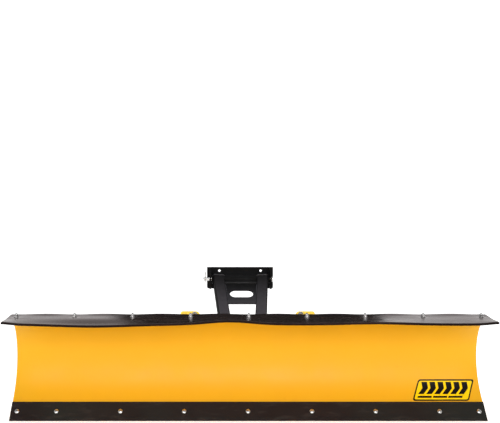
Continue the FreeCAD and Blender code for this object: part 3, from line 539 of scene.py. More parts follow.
def rod(radius, start, end, chamfer):
    """A pin with chamfered ends."""
    length = (end - start).length
    profile = [(0, 0), (radius - chamfer, 0), (radius, chamfer), (radius, length - chamfer),
               (radius - chamfer, length), (0, length)]
    return lathe(profile, start, end - start)


def headed_pin(start, end, radius, chamfer, head, head_radius, head_chamfer):
    """A pin from start to end, with a head that ends at start."""
    back = (start - end).normalized() * head
    return [rod(radius, start, end, chamfer), rod(head_radius, start + back, start, head_chamfer)]


def pipe(radius, bore, start, end, chamfer, steps=40):
    """A ring or tube with broken edges."""
    length = (end - start).length
    profile = [(bore, chamfer), (bore + chamfer, 0), (radius - chamfer, 0), (radius, chamfer),
               (radius, length - chamfer), (radius - chamfer, length), (bore + chamfer, length),
               (bore, length - chamfer), (bore, chamfer)]
    return lathe(profile, start, end - start, steps)


def in_mm(profile):
    return [(radius * MM, height * MM) for radius, height in profile]


def dome(base, axis):
    """A carriage bolt's round head, standing on base."""
    foot = 0.3 * MM
    edge = 0.8 * MM
    profile = [(0, 0), (HEAD_RADIUS - foot, 0), (HEAD_RADIUS, foot), (HEAD_RADIUS, edge)]
    turns = 8
    for i in range(1, turns):
        angle = math.pi / 2 * i / turns
        profile.append((HEAD_RADIUS * math.cos(angle), edge + (HEAD_HEIGHT - edge) * math.sin(angle)))
    profile.append((0, HEAD_HEIGHT))
    return lathe(profile, base, axis)


def hexagon(flats, height, base, axis, bore=0.02 * MM):
    """A hexagonal head or nut with the curved chamfers that turning leaves at both ends."""
    axis = axis.normalized()
    inner = flats / 2 * 0.95
    chamfer = math.tan(math.radians(28))
    steps = 48
    sixth = math.pi / 3
    verts = []
    for i, arm in enumerate(spokes(axis, steps)):
        from_flat = (math.tau * i / steps + sixth / 2) % sixth - sixth / 2
        corner = flats / 2 / math.cos(from_flat)
        drop = (corner - inner) * chamfer
        places = [(bore, 0), (inner, 0), (corner, drop),
                  (corner, height - drop), (inner, height), (bore, height)]
        verts += [base + axis * up + arm * radius for radius, up in places]
    rings = [list(range(k, len(verts), len(places))) for k in range(len(places))]
    return verts, spin(rings + [rings[0]], steps)


def thread(radius, start, axis, length):
    """The ridge of a screw thread, wound round a core."""
    steps = 18
    axis = axis.normalized()
    arms = spokes(axis, steps)
    root = radius - THREAD_DEPTH - 0.05 * MM
    half = THREAD_PITCH * 0.46
    count = int((length - 2 * half) / THREAD_PITCH * steps)
    verts = []
    faces = []
    for i in range(count + 1):
        arm = arms[i % steps]
        middle = start + axis * (half + THREAD_PITCH * i / steps)
        fade = min(1, i / steps, (count - i) / steps)
        crest = root + (radius - root) * max(fade, 0.05)
        verts += [middle - axis * half + arm * root, middle + arm * crest, middle + axis * half + arm * root]
    for i in range(count):
        for k in range(3):
            n = (k + 1) % 3
            faces.append((3 * i + k, 3 * i + n, 3 * i + 3 + n, 3 * i + 3 + k))
    faces += [(0, 2, 1), (3 * count, 3 * count + 1, 3 * count + 2)]
    return verts, faces


def screw(radius, start, end, threaded):
    """A bolt's shank, threaded over its last stretch."""
    axis = (end - start).normalized()
    length = (end - start).length
    core = radius - THREAD_DEPTH
    neck = length - threaded
    chamfer = 0.8 * MM
    profile = [(0, 0), (radius, 0), (radius, neck - 0.3 * MM), (core, neck), (core, length - chamfer),
               (core - chamfer, length), (0, length)]
    return [lathe(profile, start, axis, 24), thread(radius, start + axis * neck, axis, threaded - 0.6 * MM)]


def sweep(path, radius, steps=10, closed=False):
    """A round bar along a path. radius is a number, or a function of the place along it from 0 to 1."""
    size = radius if callable(radius) else lambda part: radius
    count = len(path)
    verts = []
    normal = None
    for i, here in enumerate(path):
        before = path[i - 1] if closed or i else here
        after = path[(i + 1) % count] if closed or i + 1 < count else here
        tangent = (after - before).normalized()
        if normal is None:
            normal = square_to(tangent)[0]
        normal = (normal - tangent * normal.dot(tangent)).normalized()
        other = tangent.cross(normal)
        for k in range(steps):
            angle = math.tau * k / steps
            arm = normal * math.cos(angle) + other * math.sin(angle)
            verts.append(here + arm * size(i / max(count - 1, 1)))
    rings = rings_of(count, steps)
    if closed:
        rings.append(rings[0])
        return verts, spin(rings, steps)
    verts += [path[0], path[-1]]
    rings = [[len(verts) - 2]] + rings + [[len(verts) - 1]]
    return verts, spin(rings, steps)


def evenly(path, gap):
    """The path's points again, a fixed gap apart."""
    out = [path[0]]
    left = gap
    for start, end in zip(path, path[1:]):
        length = (end - start).length
        place = left
        while place < length:
            out.append(start.lerp(end, place / length))
            place += gap
        left = place - length
    return out


def bead(path, radius=BEAD_RADIUS):
    """A weld along a path, with the ripples of its making."""
    points = evenly(path, 1.5 * MM)
    ripples = len(points) / 2.7

    def size(part):
        ends = min(1.0, 12 * part + 0.3, 12 * (1 - part) + 0.3)
        return radius * ends * (1 + 0.10 * math.sin(math.tau * ripples * part))
    return sweep(points, size, 8)


def circle(centre, axis, radius, steps=48):
    """A closed path: its last point is its first again."""
    arms = spokes(axis, steps)
    return [centre + arm * radius for arm in arms + arms[:1]]


# ---- blade ----

def sheet_line(depth, tip=0.0):
    """The sheet's profile from its foot to the lip's front edge, at a depth behind its face."""
    roll = ROLL_RADIUS * (ROLL_TOP + LEAN)
    points = [face_point(0, FLANGE_FOOT - tip, -depth), face_point(0, FLANGE_LENGTH * 0.6, -depth)]
    steps = 56
    points += [face_point(0, FLANGE_LENGTH + roll * i / steps, -depth) for i in range(steps + 1)]
    bends = 8
    for i in range(1, bends + 1):
        angle = ROLL_TOP + (LIP_ANGLE - ROLL_TOP) * i / bends
        points.append(LIP_CENTRE + turned(angle) * (LIP_RADIUS + depth))
    return points + [points[-1] + LIP * (LIP_LENGTH * 0.5), points[-1] + LIP * (LIP_LENGTH + tip)]


def moldboard():
    """The rolled sheet, its cut edges rounded a little."""
    edge = 0.7 * MM
    tip = 0.5 * MM
    columns = 24

    def section(x, inset):
        middle = sheet_line(SHEET / 2, tip)
        loop = sheet_line(inset) + [middle[-1]] + sheet_line(SHEET - inset)[::-1] + [middle[0]]
        return [point + X_AXIS * x for point in loop]
    flat = 2 * HALF_WIDTH - 2 * edge
    inside = [(-HALF_WIDTH + edge + flat * i / columns, 0.0) for i in range(columns + 1)]
    stations = [(-HALF_WIDTH, edge), (-HALF_WIDTH + edge * 0.3, edge * 0.3), *inside,
                (HALF_WIDTH - edge * 0.3, edge * 0.3), (HALF_WIDTH, edge)]
    verts = []
    for x, inset in stations:
        verts += section(x, inset)
    around = len(verts) // len(stations)
    rings = rings_of(len(stations), around)
    faces = spin(rings, around)
    half = (around - 2) // 2
    for ring in (rings[0], rings[-1]):
        for i in range(half - 1):
            faces.append((ring[i], ring[i + 1], ring[around - 3 - i], ring[around - 2 - i]))
        faces.append((ring[half - 1], ring[half], ring[half + 1]))
        faces.append((ring[0], ring[around - 2], ring[around - 1]))
    piece("moldboard_sheet", [(verts, faces)], "moldboard")


def bump_at(x, place, width):
    return math.exp(-((x - place) / width) ** 2)


def flap_wave(x):
    """How far the flap's front edge stands above its clamped line: rubber never lies quite flat."""
    tips = FLAP_TIP_RISE * bump_at(abs(x), HALF_WIDTH, FLAP_TIP_RUN)
    return tips + sum(MM * height * bump_at(x, MM * place, MM * width) for height, place, width in FLAP_WAVES)


def smooth(part):
    part = min(1.0, max(0.0, part))
    return part * part * (3 - 2 * part)


def flap():
    """A rubber strip: clamped down at its bolts, lifting between them, and waving at its free front edge."""
    columns = 330
    rows = 26
    corner = 9 * MM
    taper = 10 * MM
    free = 50 * MM
    between_bolts = 2.6 * MM
    clamped_depth = 30 * MM
    raised = 1.0 * MM
    dent = 11 * MM
    dent_run = 16 * MM
    edge = 1.2 * MM

    def middle(part, depth):
        reach = HALF_WIDTH - taper * (1 - depth / FLAP_DEPTH)
        if depth < corner:
            reach -= corner - math.sqrt(corner ** 2 - (corner - depth) ** 2)
        x = reach * (2 * part - 1)
        between = 0.5 - 0.5 * math.cos(math.tau * x / FLAP_BOLT_PITCH)
        lift = between_bolts * between * smooth(1 - depth / clamped_depth)
        wave = flap_wave(x) * smooth((depth - free) / (FLAP_DEPTH - free)) ** 1.2
        nearest = round(x / FLAP_BOLT_PITCH) * FLAP_BOLT_PITCH
        from_bolt = math.hypot(x - nearest, FLAP_REAR_Y - depth - FLAP_BOLT_Y)
        swell = raised * smooth((from_bolt - dent) / dent_run)
        return on_lip(x, FLAP_REAR_Y - depth * math.cos(LIP_TILT), 0) + LIP_UP * (lift + wave), swell
    depths = [0, edge * 0.3, edge] + [edge + (FLAP_DEPTH - 2 * edge) * i / rows for i in range(1, rows)]
    depths += [FLAP_DEPTH - edge, FLAP_DEPTH - edge * 0.3, FLAP_DEPTH]
    parts = [0, 0.0002, 0.0007] + [i / columns for i in range(1, columns)] + [0.9993, 0.9998, 1]

    def inset(place, length, whole):
        """How far the rubber's skin draws in by its cut edges."""
        near = min(place, whole - place) * length
        return edge * (1 - math.sqrt(max(0.0, 1 - (1 - min(near / edge, 1)) ** 2)))
    top = []
    under = []
    for depth in depths:
        for part in parts:
            base, swell = middle(part, depth)
            drawn = min(edge, inset(depth, 1, FLAP_DEPTH) + inset(part, 2 * HALF_WIDTH, 1))
            top.append(base + LIP_UP * (FLAP_THICKNESS + swell - drawn))
            under.append(base + LIP_UP * drawn)
    wide = len(parts)
    deep = len(depths)
    count = len(top)
    faces = []
    for j in range(deep - 1):
        for i in range(wide - 1):
            a = j * wide + i
            quad = (a, a + 1, a + wide + 1, a + wide)
            faces.append(quad)
            faces.append([count + n for n in reversed(quad)])
    rim = list(range(wide)) + [j * wide + wide - 1 for j in range(1, deep)]
    rim += [(deep - 1) * wide + i for i in range(wide - 2, -1, -1)]
    rim += [j * wide for j in range(deep - 2, 0, -1)]
    for a, b in zip(rim, rim[1:] + rim[:1]):
        faces.append((a, b, count + b, count + a))
    strip = piece("flap_strip", [(top + under, faces)], "deflector_flap", 60)
    steep = 0.6
    second_finish(strip, CUT_RUBBER, lambda normal: abs(normal.dot(LIP_UP)) < steep)


def flap_fasteners():
    """Carriage bolts up through the lip and the rubber, with washers and lock nuts."""
    seat = FLAP_THICKNESS + 1.6 * MM
    tip = FLAP_THICKNESS + 13 * MM
    threaded = 15 * MM
    nut = 7.0 * MM
    collar = [(BOLT_RADIUS, nut - MM), (5.8 * MM, nut - MM), (5.8 * MM, nut + 1.2 * MM),
              (5.2 * MM, nut + 2.2 * MM), (4.6 * MM, nut + 2.6 * MM), (BOLT_RADIUS, nut + 2.1 * MM),
              (BOLT_RADIUS, nut - MM)]
    bolts = []
    washers = []
    nuts = []
    for x in FLAP_BOLTS:
        def at(above):
            return on_lip(x, FLAP_BOLT_Y, above)
        bolts.append(dome(at(-SHEET), -LIP_UP))
        bolts += screw(BOLT_RADIUS, at(-SHEET), at(tip), threaded)
        washers.append(pipe(WASHER_RADIUS, BOLT_RADIUS, at(FLAP_THICKNESS), at(seat), 0.3 * MM))
        nuts.append(hexagon(NUT_FLATS, nut, at(seat), LIP_UP, NUT_BORE))
        nuts.append(lathe(collar, at(seat), LIP_UP))
    piece("flap_carriage_bolts", bolts, "flap_bolts")
    piece("flap_flat_washers", washers, "flap_washers")
    piece("flap_lock_nuts", nuts, "flap_nuts")


def wear_bar_fasteners():
    """Carriage bolts through the wear bar, sheet and backing bar, with flange nuts behind."""
    behind = SHEET + BACKING_THICKNESS
    past = 15 * MM
    threaded = 18 * MM
    flange = 1.8 * MM
    cone = flange + 1.1 * MM
    sunk = 0.6 * MM
    height = 6.8 * MM
    skirt = [(BOLT_RADIUS, 0), (WASHER_RADIUS, 0), (WASHER_RADIUS, 0.8 * MM), (NUT_FLATS / 2, cone),
             (BOLT_RADIUS, cone), (BOLT_RADIUS, 0)]
    bolts = []
    nuts = []
    for x in BAR_BOLTS:
        def at(out):
            return face_point(x, BAR_BOLT_UP, out)
        bolts.append(dome(at(BAR_THICKNESS), FORWARD))
        bolts += screw(BOLT_RADIUS, at(BAR_THICKNESS), at(-behind - past), threaded)
        nuts.append(lathe(skirt, at(-behind), -FORWARD))
        nuts.append(hexagon(NUT_FLATS, height + sunk, at(sunk - behind - flange), -FORWARD, NUT_BORE))
    piece("wear_bar_carriage_bolts", bolts, "wear_bar_bolts")
    piece("wear_bar_flange_nuts", nuts, "wear_bar_nuts")


def eye_bolts():
    """The eye bolts that hold the trip springs, each through its tab with a washer and nut in front."""
    face = TAB_AWAY + RIB
    washer = 2 * MM
    shank = 5 * MM
    past = 17 * MM
    threaded = 24 * MM
    flats = 16 * MM
    height = 9 * MM
    bolts = []
    nuts = []
    for x in (-EYE_X, EYE_X):
        bolts.append(sweep(circle(eye_place(x, 0), X_AXIS, EYE_RADIUS)[:-1], EYE_WIRE, 16, closed=True))
        bolts += screw(shank, eye_place(x, EYE_RADIUS - MM), eye_place(x, face + past), threaded)
        nuts.append(pipe(11 * MM, shank, eye_place(x, face), eye_place(x, face + washer), 0.3 * MM))
        nuts.append(hexagon(flats, height, eye_place(x, face + washer), PULL, shank - 0.3 * MM))
    piece("eye_bolts", bolts, "spring_eye_bolts")
    piece("eye_bolt_nuts", nuts, "spring_eye_nuts")


def trip_spring(which, sign):
    """A close-wound extension spring with a hook at each end."""
    node = f"trip_spring_{which}"
    from_eye = 12.2 * MM
    from_anchor = 15.5 * MM
    eye = eye_place(sign * EYE_X, 0)
    anchor = Vector((sign * EYE_X, ANCHOR_Y, ANCHOR_Z))
    along = (anchor - eye).normalized()
    flat = along.cross(X_AXIS).normalized()
    upper = eye + along * from_eye
    lower = anchor - along * from_anchor
    start = upper + along * UPPER_LOOP
    end = lower - along * LOWER_LOOP
    length = (end - start).length
    pitch = 2.04 * SPRING_WIRE
    turns = int(length / pitch)
    steps = 20
    hook_steps = 22
    gap = math.radians(35)
    run_in = 0.7

    def hook(centre, toward, radius):
        """From a loop's free end, round to the point on the spring's axis where it meets the coil."""
        angles = [gap + (math.tau - gap) * i / hook_steps for i in range(hook_steps)]
        return [centre + toward * (radius * math.cos(a)) + X_AXIS * (radius * math.sin(a)) for a in angles]
    path = hook(upper, along, UPPER_LOOP)
    for i in range(turns * steps + 1):
        turn = i / steps
        ramp = smooth(min(turn, turns - turn) / run_in)
        angle = math.tau * turn
        arm = X_AXIS * math.cos(angle) + flat * math.sin(angle)
        path.append(start + along * (length * turn / turns) + arm * (SPRING_RADIUS * ramp))
    path += hook(lower, -along, LOWER_LOOP)[::-1]
    made = piece(f"hooked_spring_{which}", [sweep(path, SPRING_WIRE, 10)], node, blended=True)
    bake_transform(made)


def trip_pins():
    """Hinge pins with a head inboard."""
    length = 46 * MM
    pins = []
    for sign in (-1, 1):
        inner = Vector((sign * TRIP_PIN_X, TRIP_Y, TRIP_Z))
        pins += headed_pin(inner, inner + X_AXIS * sign * length, radius=9.5 * MM, chamfer=1.2 * MM,
                           head=5 * MM, head_radius=13 * MM, head_chamfer=1.0 * MM)
    piece("hinge_pins", pins, "trip_pins")


def skid_set_bolts():
    """Each shoe's stem is clamped in its socket by a bolt from behind."""
    length = 22 * MM
    radius = 6 * MM
    flats = 19 * MM
    head = 8 * MM
    bolts = []
    for sign in (-1, 1):
        tip = Vector((sign * SKID_X, SKID_Y + SET_BOLT_REACH, SET_BOLT_Z))
        neck = tip + Y_AXIS * length
        bolts += screw(radius, neck, tip, length - MM)
        bolts.append(hexagon(flats, head, neck, Y_AXIS))
    piece("set_bolts", bolts, "skid_set_bolts")


def skid_shoe(which, sign):
    """A pressed foot with a turned-up rim on a turned stem."""
    rim = [(0, 0), (38, 0), (41, 0.5), (44, 2.4), (50.8, 8.8), (52, 10.6), (51, 12.6), (49.4, 13.2),
           (47.6, 12.4), (42, 7.6), (39.5, 6.3), (36, 6), (16, 6), (13.6, 6.8), (12.5, 9), (12.5, 213),
           (10.5, 215), (0, 215)]
    shape = lathe(in_mm(rim), Vector((sign * SKID_X, SKID_Y, 0)), Z_AXIS, 56)
    piece(f"skid_foot_{which}", [shape], f"skid_shoe_{which}")


# ---- swivel and push frame ----

def rounded_square(half_x, half_y, corner, steps=5):
    """A square's outline with rounded corners, as pairs."""
    points = []
    for quarter, (sx, sy) in enumerate(((1, 1), (-1, 1), (-1, -1), (1, -1))):
        for i in range(steps + 1):
            angle = math.pi / 2 * (quarter + i / steps)
            points.append((sx * (half_x - corner) + corner * math.cos(angle),
                           sy * (half_y - corner) + corner * math.sin(angle)))
    return points


def hollow(outer, inner):
    """A hollow bar from matching rings of points along its length."""
    count = len(outer)
    around = len(outer[0])
    verts = [point for ring in outer + inner for point in ring]
    skin = rings_of(count, around)
    return verts, spin(skin + rings_of(count, around, count * around)[::-1] + skin[:1], around)


def crossbar():
    """A rectangular tube with rolled corners."""
    low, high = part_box("swivel_crossbar")
    centre = (low + high) / 2
    half = (high - low) / 2
    cut = 0.5 * MM

    def ring(x, inset, corner):
        outline = rounded_square(half.y - inset, half.z - inset, corner)
        return [Vector((x, centre.y + y, centre.z + z)) for y, z in outline]
    ends = [(-half.x, cut), (-half.x + cut, 0), (half.x - cut, 0), (half.x, cut)]
    outer = [ring(x, inset, 6 * MM) for x, inset in ends]
    inner = [ring(x, TUBE_WALL - inset, 2.5 * MM) for x, inset in ends]
    piece("crossbar_tube", [hollow(outer, inner)], "swivel_crossbar")


def push_tube_rings(sign, half, corner):
    """Rings of a push tube's section: its front end, its bend, and its rear end coped to the cross tube."""
    splay = math.atan2(TUBE_REAR[0] - TUBE_FRONT[0], TUBE_REAR[1] - TUBE_FRONT[1])
    run = Vector((sign * math.sin(splay), math.cos(splay), 0))
    beside = Vector((sign * math.cos(splay), -math.sin(splay), 0))
    front = Vector((sign * TUBE_FRONT[0], TUBE_FRONT[1], TUBE_Z))
    bend = front + run * ((BEND_Y - TUBE_FRONT[1]) / math.cos(splay))
    rear = front + run * ((LIFT.y - TUBE_FRONT[1]) / math.cos(splay))
    rear.z = LIFT.z
    slope = (rear - bend).normalized()
    rise = math.asin(slope.z)
    up = slope.cross(beside).normalized()
    up = up if up.z > 0 else -up
    mitre = Z_AXIS - run * math.tan(rise / 2)
    outline = rounded_square(half, half, corner)
    coped = []
    for a, b in outline:
        start = bend + beside * a + up * b
        coped.append(start + slope * reach_to_round(start, slope))
    return [[front + beside * a + Z_AXIS * b for a, b in outline],
            [bend + beside * a + mitre * b for a, b in outline], coped]


def reach_to_round(start, direction):
    """How far along direction a line meets the rear cross tube, or passes nearest to it."""
    y = start.y - LIFT.y
    z = start.z - LIFT.z
    square = direction.y ** 2 + direction.z ** 2
    half = y * direction.y + z * direction.z
    inside = half ** 2 - square * (y * y + z * z - CROSS_TUBE_RADIUS ** 2)
    return (-half - math.sqrt(max(inside, 0.0))) / square


def push_tube(which, sign):
    outer = push_tube_rings(sign, TUBE_HALF, TUBE_CORNER)
    inner = push_tube_rings(sign, TUBE_HALF - TUBE_WALL, TUBE_CORNER - 3 * MM)
    node = f"push_tube_{which}"
    # Painted shade: the tube darkens towards its raised rear end.
    tube = piece(f"{node}_rounded", [hollow(outer, inner)], node, material=TUBE_SHADED_PAINT)
    # Painted shade: faces that turn sideways, the tube's sides and corners, get the darker black.
    sideways = 0.3
    second_finish(tube, PAINTED_SHADE_BLACK, lambda normal: abs(normal.x) > sideways)
    return outer


def king_bolt():
    low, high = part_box("king_bolt")
    nut_low, nut_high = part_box("king_nut")
    radius = 12.7 * MM
    flats = 38 * MM
    head = 16 * MM
    threaded = 34 * MM
    neck = side(KING_Y, high.z - head)
    bolt = screw(radius, neck, side(KING_Y, low.z), threaded)
    bolt.append(hexagon(flats, head, neck, Z_AXIS))
    nut = hexagon(flats, nut_high.z - nut_low.z, side(KING_Y, nut_low.z), Z_AXIS, radius - THREAD_DEPTH)
    piece("king_pivot_bolt", bolt, "king_bolt")
    piece("king_lock_nut", [nut], "king_nut")


def lock():
    """The lock pin, its T handle, and its spring inside the housing."""
    low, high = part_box("lock_pin")
    shaft = [(0, 0), (5.4, 0), (6, 0.4), (7.95, 3.4), (7.95, 63), (12.1, 63), (12.5, 63.4), (12.5, 66.6),
             (12.1, 67), (7.95, 67), (7.95, 129), (0, 129)]
    piece("lock_plunger", [lathe(in_mm(shaft), side(LOCK_Y, low.z), Z_AXIS)], "lock_pin")
    hub = [(8, 0), (10.2, 0), (11, 0.8), (11, 18.4), (9.4, 20), (0, 20), (8, 0)]
    arm = X_AXIS * 45 * MM
    foot = side(LOCK_Y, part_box("lock_handle")[0].z)
    centre = side(LOCK_Y, high.z + 2 * MM)
    bar = rod(5.5 * MM, centre + arm, centre - arm, chamfer=1.8 * MM)
    piece("lock_tee", [lathe(in_mm(hub), foot, Z_AXIS), bar], "lock_handle")
    collar_top = side(LOCK_Y, 222 * MM)
    cap = side(LOCK_Y, 244 * MM)
    wire = 1.4 * MM
    clear = 1.6 * MM
    turns = 6
    steps = 24
    path = []
    for i in range(turns * steps + 1):
        angle = math.tau * i / steps
        up = clear + ((cap - collar_top).z - 2 * clear) * i / (turns * steps)
        path.append(collar_top + Vector((math.cos(angle), math.sin(angle), 0)) * 10.5 * MM + Z_AXIS * up)
    spring = piece("lock_coil", [sweep(path, wire, 8)], "lock_spring", blended=True)
    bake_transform(spring)


def lift_axis(x):
    return Vector((x, LIFT.y, LIFT.z))


def hitch_pin():
    low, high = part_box("hitch_pin")
    head = 7 * MM
    shapes = headed_pin(lift_axis(high.x - head), lift_axis(low.x), radius=7.95 * MM, chamfer=1.5 * MM,
                        head=head, head_radius=13 * MM, head_chamfer=1.2 * MM)
    piece("hitch_cross_pin", shapes, "hitch_pin")


def cross_tube():
    low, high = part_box("rear_cross_tube")
    tube = pipe(CROSS_TUBE_RADIUS, CROSS_TUBE_BORE, lift_axis(low.x), lift_axis(high.x), 0.8 * MM, 48)
    # Painted shade: the hinge tube takes the darker black.
    piece("hinge_tube", [tube], "rear_cross_tube", material=PAINTED_SHADE_BLACK)


# ---- welds ----

def straight_bead(start, end, radius=BEAD_RADIUS):
    return bead([Vector(start), Vector(end)], radius)


def blade_welds():
    """Stitches on both sides of every rib, and beads where the tabs meet the sheet and sockets their ribs."""
    stitches = 6
    share = 0.55
    steps = 8
    pitch = (RIB_HEAD - RIB_FOOT) / stitches
    low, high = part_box("spring_tab_right")
    inset = 3 * MM
    socket_y = SKID_Y - 18.6 * MM
    socket_foot = 114 * MM
    socket_head = 186 * MM
    beads = []
    for sign in (-1, 1):
        for edge in [place + other for place in RIB_PLACES for other in (0, RIB)]:
            for i in range(stitches):
                first = RIB_FOOT + pitch * (i + (1 - share) / 2)
                angles = [first + pitch * share * k / steps for k in range(steps + 1)]
                beads.append(bead([rear_point(sign * edge, angle, 0.6 * MM) for angle in angles]))
        for ahead in (0, RIB):
            beads.append(bead([rear_point(sign * x, tab_foot(ahead), 0.8 * MM)
                               for x in (low.x + inset, high.x - inset)]))
        for edge in (SKID_X - RIB / 2, SKID_X + RIB / 2):
            x = sign * edge
            beads.append(straight_bead((x, socket_y, socket_foot), (x, socket_y, socket_head)))
    extra("blade_welds", beads, "blade", "blade_paint", sharp=80)


def swivel_welds():
    """Beads where the arms and both plates meet the crossbar."""
    low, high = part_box("swivel_crossbar")
    inset = 8 * MM
    hinge_arm_faces = (236 * MM, 246 * MM)
    spring_arm_foot = 163 * MM
    spring_arm_head = 200 * MM
    beads = []
    for sign in (-1, 1):
        for x in hinge_arm_faces:
            beads.append(straight_bead((sign * x, low.y + inset, low.z), (sign * x, high.y - inset, low.z)))
        for x in (EYE_X - RIB / 2, EYE_X + RIB / 2):
            beads.append(straight_bead((sign * x, high.y, spring_arm_foot),
                                       (sign * x, high.y, spring_arm_head)))
    for node, z in (("swivel_plate", high.z), ("sector_plate", low.z)):
        front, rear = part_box(node)
        reach = rear.x
        end = reach - 4 * MM
        beads.append(straight_bead((-end, front.y, z), (end, front.y, z), THICK_BEAD))
        for x in (-reach, reach):
            beads.append(straight_bead((x, front.y + 2 * MM, z), (x, high.y - 7 * MM, z), THICK_BEAD))
    extra("swivel_welds", beads, "swivel", "frame_paint", sharp=80)


def frame_welds(coped):
    """Beads on the push frame, given the coped rear ends of its two tubes."""
    slope = (TUBE_REAR[0] - TUBE_FRONT[0]) / (TUBE_REAR[1] - TUBE_FRONT[1])
    splay = math.atan(slope)

    def inner_face(y):
        return TUBE_FRONT[0] + (y - TUBE_FRONT[1]) * slope - TUBE_HALF / math.cos(splay)
    barrel = 22.6 * MM
    housing = 16.2 * MM
    beads = [bead(ring + ring[:1], THICK_BEAD) for ring in coped]
    for z in (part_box("pivot_plate_top")[1].z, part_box("pivot_plate_bottom")[0].z):
        beads.append(bead(circle(side(KING_Y, z), Z_AXIS, barrel), 2.4 * MM))
    bridge_low, bridge_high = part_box("lock_bridge")
    beads.append(bead(circle(side(LOCK_Y, bridge_high.z), Z_AXIS, housing)))
    lug_low, lug_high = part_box("lift_lug")
    for x in (lug_low.x, lug_high.x):
        beads.append(straight_bead((x, lug_low.y + MM, lug_low.z), (x, lug_high.y - MM, lug_low.z)))
    gusset_low, gusset_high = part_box("gusset_plate")
    front = side(gusset_low.y + 3 * MM, gusset_low.z + 5.6 * MM)
    rear = side(gusset_high.y - 3 * MM, gusset_high.z)
    steps = 8
    for sign in (-1, 1):
        along = [front.lerp(rear, i / steps) for i in range(steps + 1)]
        beads.append(bead([here + X_AXIS * sign * inner_face(here.y) for here in along]))
        beads.append(bead([Vector((sign * inner_face(y), y, bridge_high.z))
                           for y in (bridge_low.y + MM, bridge_high.y - MM)]))
    extra("frame_welds", beads, "push_frame", "frame_paint", sharp=80)


def mount_welds():
    """Beads where the bracket's cheeks meet its back plate."""
    low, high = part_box("mount_side_right")
    foot = low.z + 4 * MM
    head = high.z - 4 * MM
    beads = []
    for x in (-low.x, MM - high.x, low.x, high.x - MM):
        beads.append(straight_bead((x, high.y, foot), (x, high.y, head), 3 * MM))
    # Painted shade: the beads take the bracket's darker black.
    extra("mount_welds", beads, "vehicle_mount", "frame_paint", sharp=80, material=PAINTED_SHADE_BLACK)


# ---- decal: a slanted panel with plain chevrons ----

def panel(inset, corner):
    """The panel's outline, drawn in by an inset, as (across, up) pairs from 0 to its size."""
    across = DECAL_WIDTH / 2
    up = DECAL_HEIGHT / 2
    return [(across + x, up + y) for x, y in rounded_square(across - inset, up - inset, corner, 6)]


def film(outline, low, high):
    """A film on the moldboard's face from a flat outline, slanted and wrapped round the roll.

    low and high are its two sides' heights over the face.
    """
    flat = bmesh.new()
    flat.faces.new([flat.verts.new((x, y, 0)) for x, y in outline])
    bands = 26
    for i in range(1, bands):
        everything = flat.verts[:] + flat.edges[:] + flat.faces[:]
        bmesh.ops.bisect_plane(flat, geom=everything, plane_co=(0, DECAL_HEIGHT * i / bands, 0),
                               plane_no=(0, 1, 0))
    flat.verts.index_update()
    verts = []
    for out in (high, low):
        for vert in flat.verts:
            x = DECAL_LEFT + vert.co.x + DECAL_SLANT * vert.co.y / DECAL_HEIGHT
            verts.append(face_point(x, DECAL_FOOT + vert.co.y, out))
    count = len(flat.verts)
    faces = []
    for face in flat.faces:
        corners = [vert.index for vert in face.verts]
        faces.append(corners)
        faces.append([count + i for i in reversed(corners)])
    for edge in flat.edges:
        if edge.is_boundary:
            a, b = [vert.index for vert in edge.verts]
            faces.append((a, b, count + b, count + a))
    flat.free()
    return verts, faces


def decal():
    """A black border, a yellow field, and six chevrons over three dashes."""
    border = 5.6 * MM
    extra("decal_border", [film(panel(0, 9 * MM), -0.5 * FILM, FILM)], "blade", "blade_paint",
          material=VINYL_BLACK)
    extra("decal_field", [film(panel(border, 6 * MM), 0.5 * FILM, 1.7 * FILM)], "blade", "blade_paint",
          material=VINYL_YELLOW)
    foot = 27 * MM
    head = 75 * MM
    waist = (foot + head) / 2
    start = 15 * MM
    pitch = 31.5 * MM
    thick = 22 * MM
    nose = 11 * MM
    count = 6
    outlines = []
    for i in range(count):
        left = start + i * pitch
        outlines.append([(left, foot), (left + thick, foot), (left + thick + nose, waist),
                         (left + thick, head), (left, head), (left + nose, waist)])
    dash_foot = 12 * MM
    dash_head = 20 * MM
    dashes = 3
    dash_start = 0.02
    dash_end = 0.94
    whole = (count - 1) * pitch + thick
    for i in range(dashes):
        left = start + whole * (i + dash_start) / dashes
        right = start + whole * (i + dash_end) / dashes
        outlines.append([(left, dash_foot), (right, dash_foot), (right, dash_head), (left, dash_head)])
    marks = [film(outline, 1.2 * FILM, 2.4 * FILM) for outline in outlines]
    extra("decal_chevrons", marks, "blade", "blade_paint", material=VINYL_BLACK)


# ---- stage, lights and camera ----

def stage_sheet(name, corners, material):
    """A flat sheet of the studio, which isn't part of the object."""
    mesh = bpy.data.meshes.new(name)
    mesh.from_pydata(corners, [], [(0, 1, 2, 3)])
    mesh.materials.append(material)
    made = bpy.data.objects.new(name, mesh)
    bpy.context.scene.collection.objects.link(made)
    return made


def stage():
    """A pale floor that glows a little, more so behind the object, in a bright surround."""
    ground = Shader("studio_floor", Roughness=0.75, Emission_Color=(1, 1, 1, 1))
    ground.set("Emission Strength", ground.span(ground.along("Y"), -0.5, 0.6, 0.28, 0.75))
    pale = ground.mix(ground.noise(1.2, 2), (0.86, 0.86, 0.86, 1), (0.88, 0.88, 0.88, 1))
    ground.set("Base Color", pale)
    half = 30.0
    stage_sheet("floor", [(-half, -half, 0), (half, -half, 0), (half, half, 0), (-half, half, 0)],
                ground.material)
    bpy.context.scene.world = studio()
    bpy.context.scene.view_settings.view_transform = "Standard"


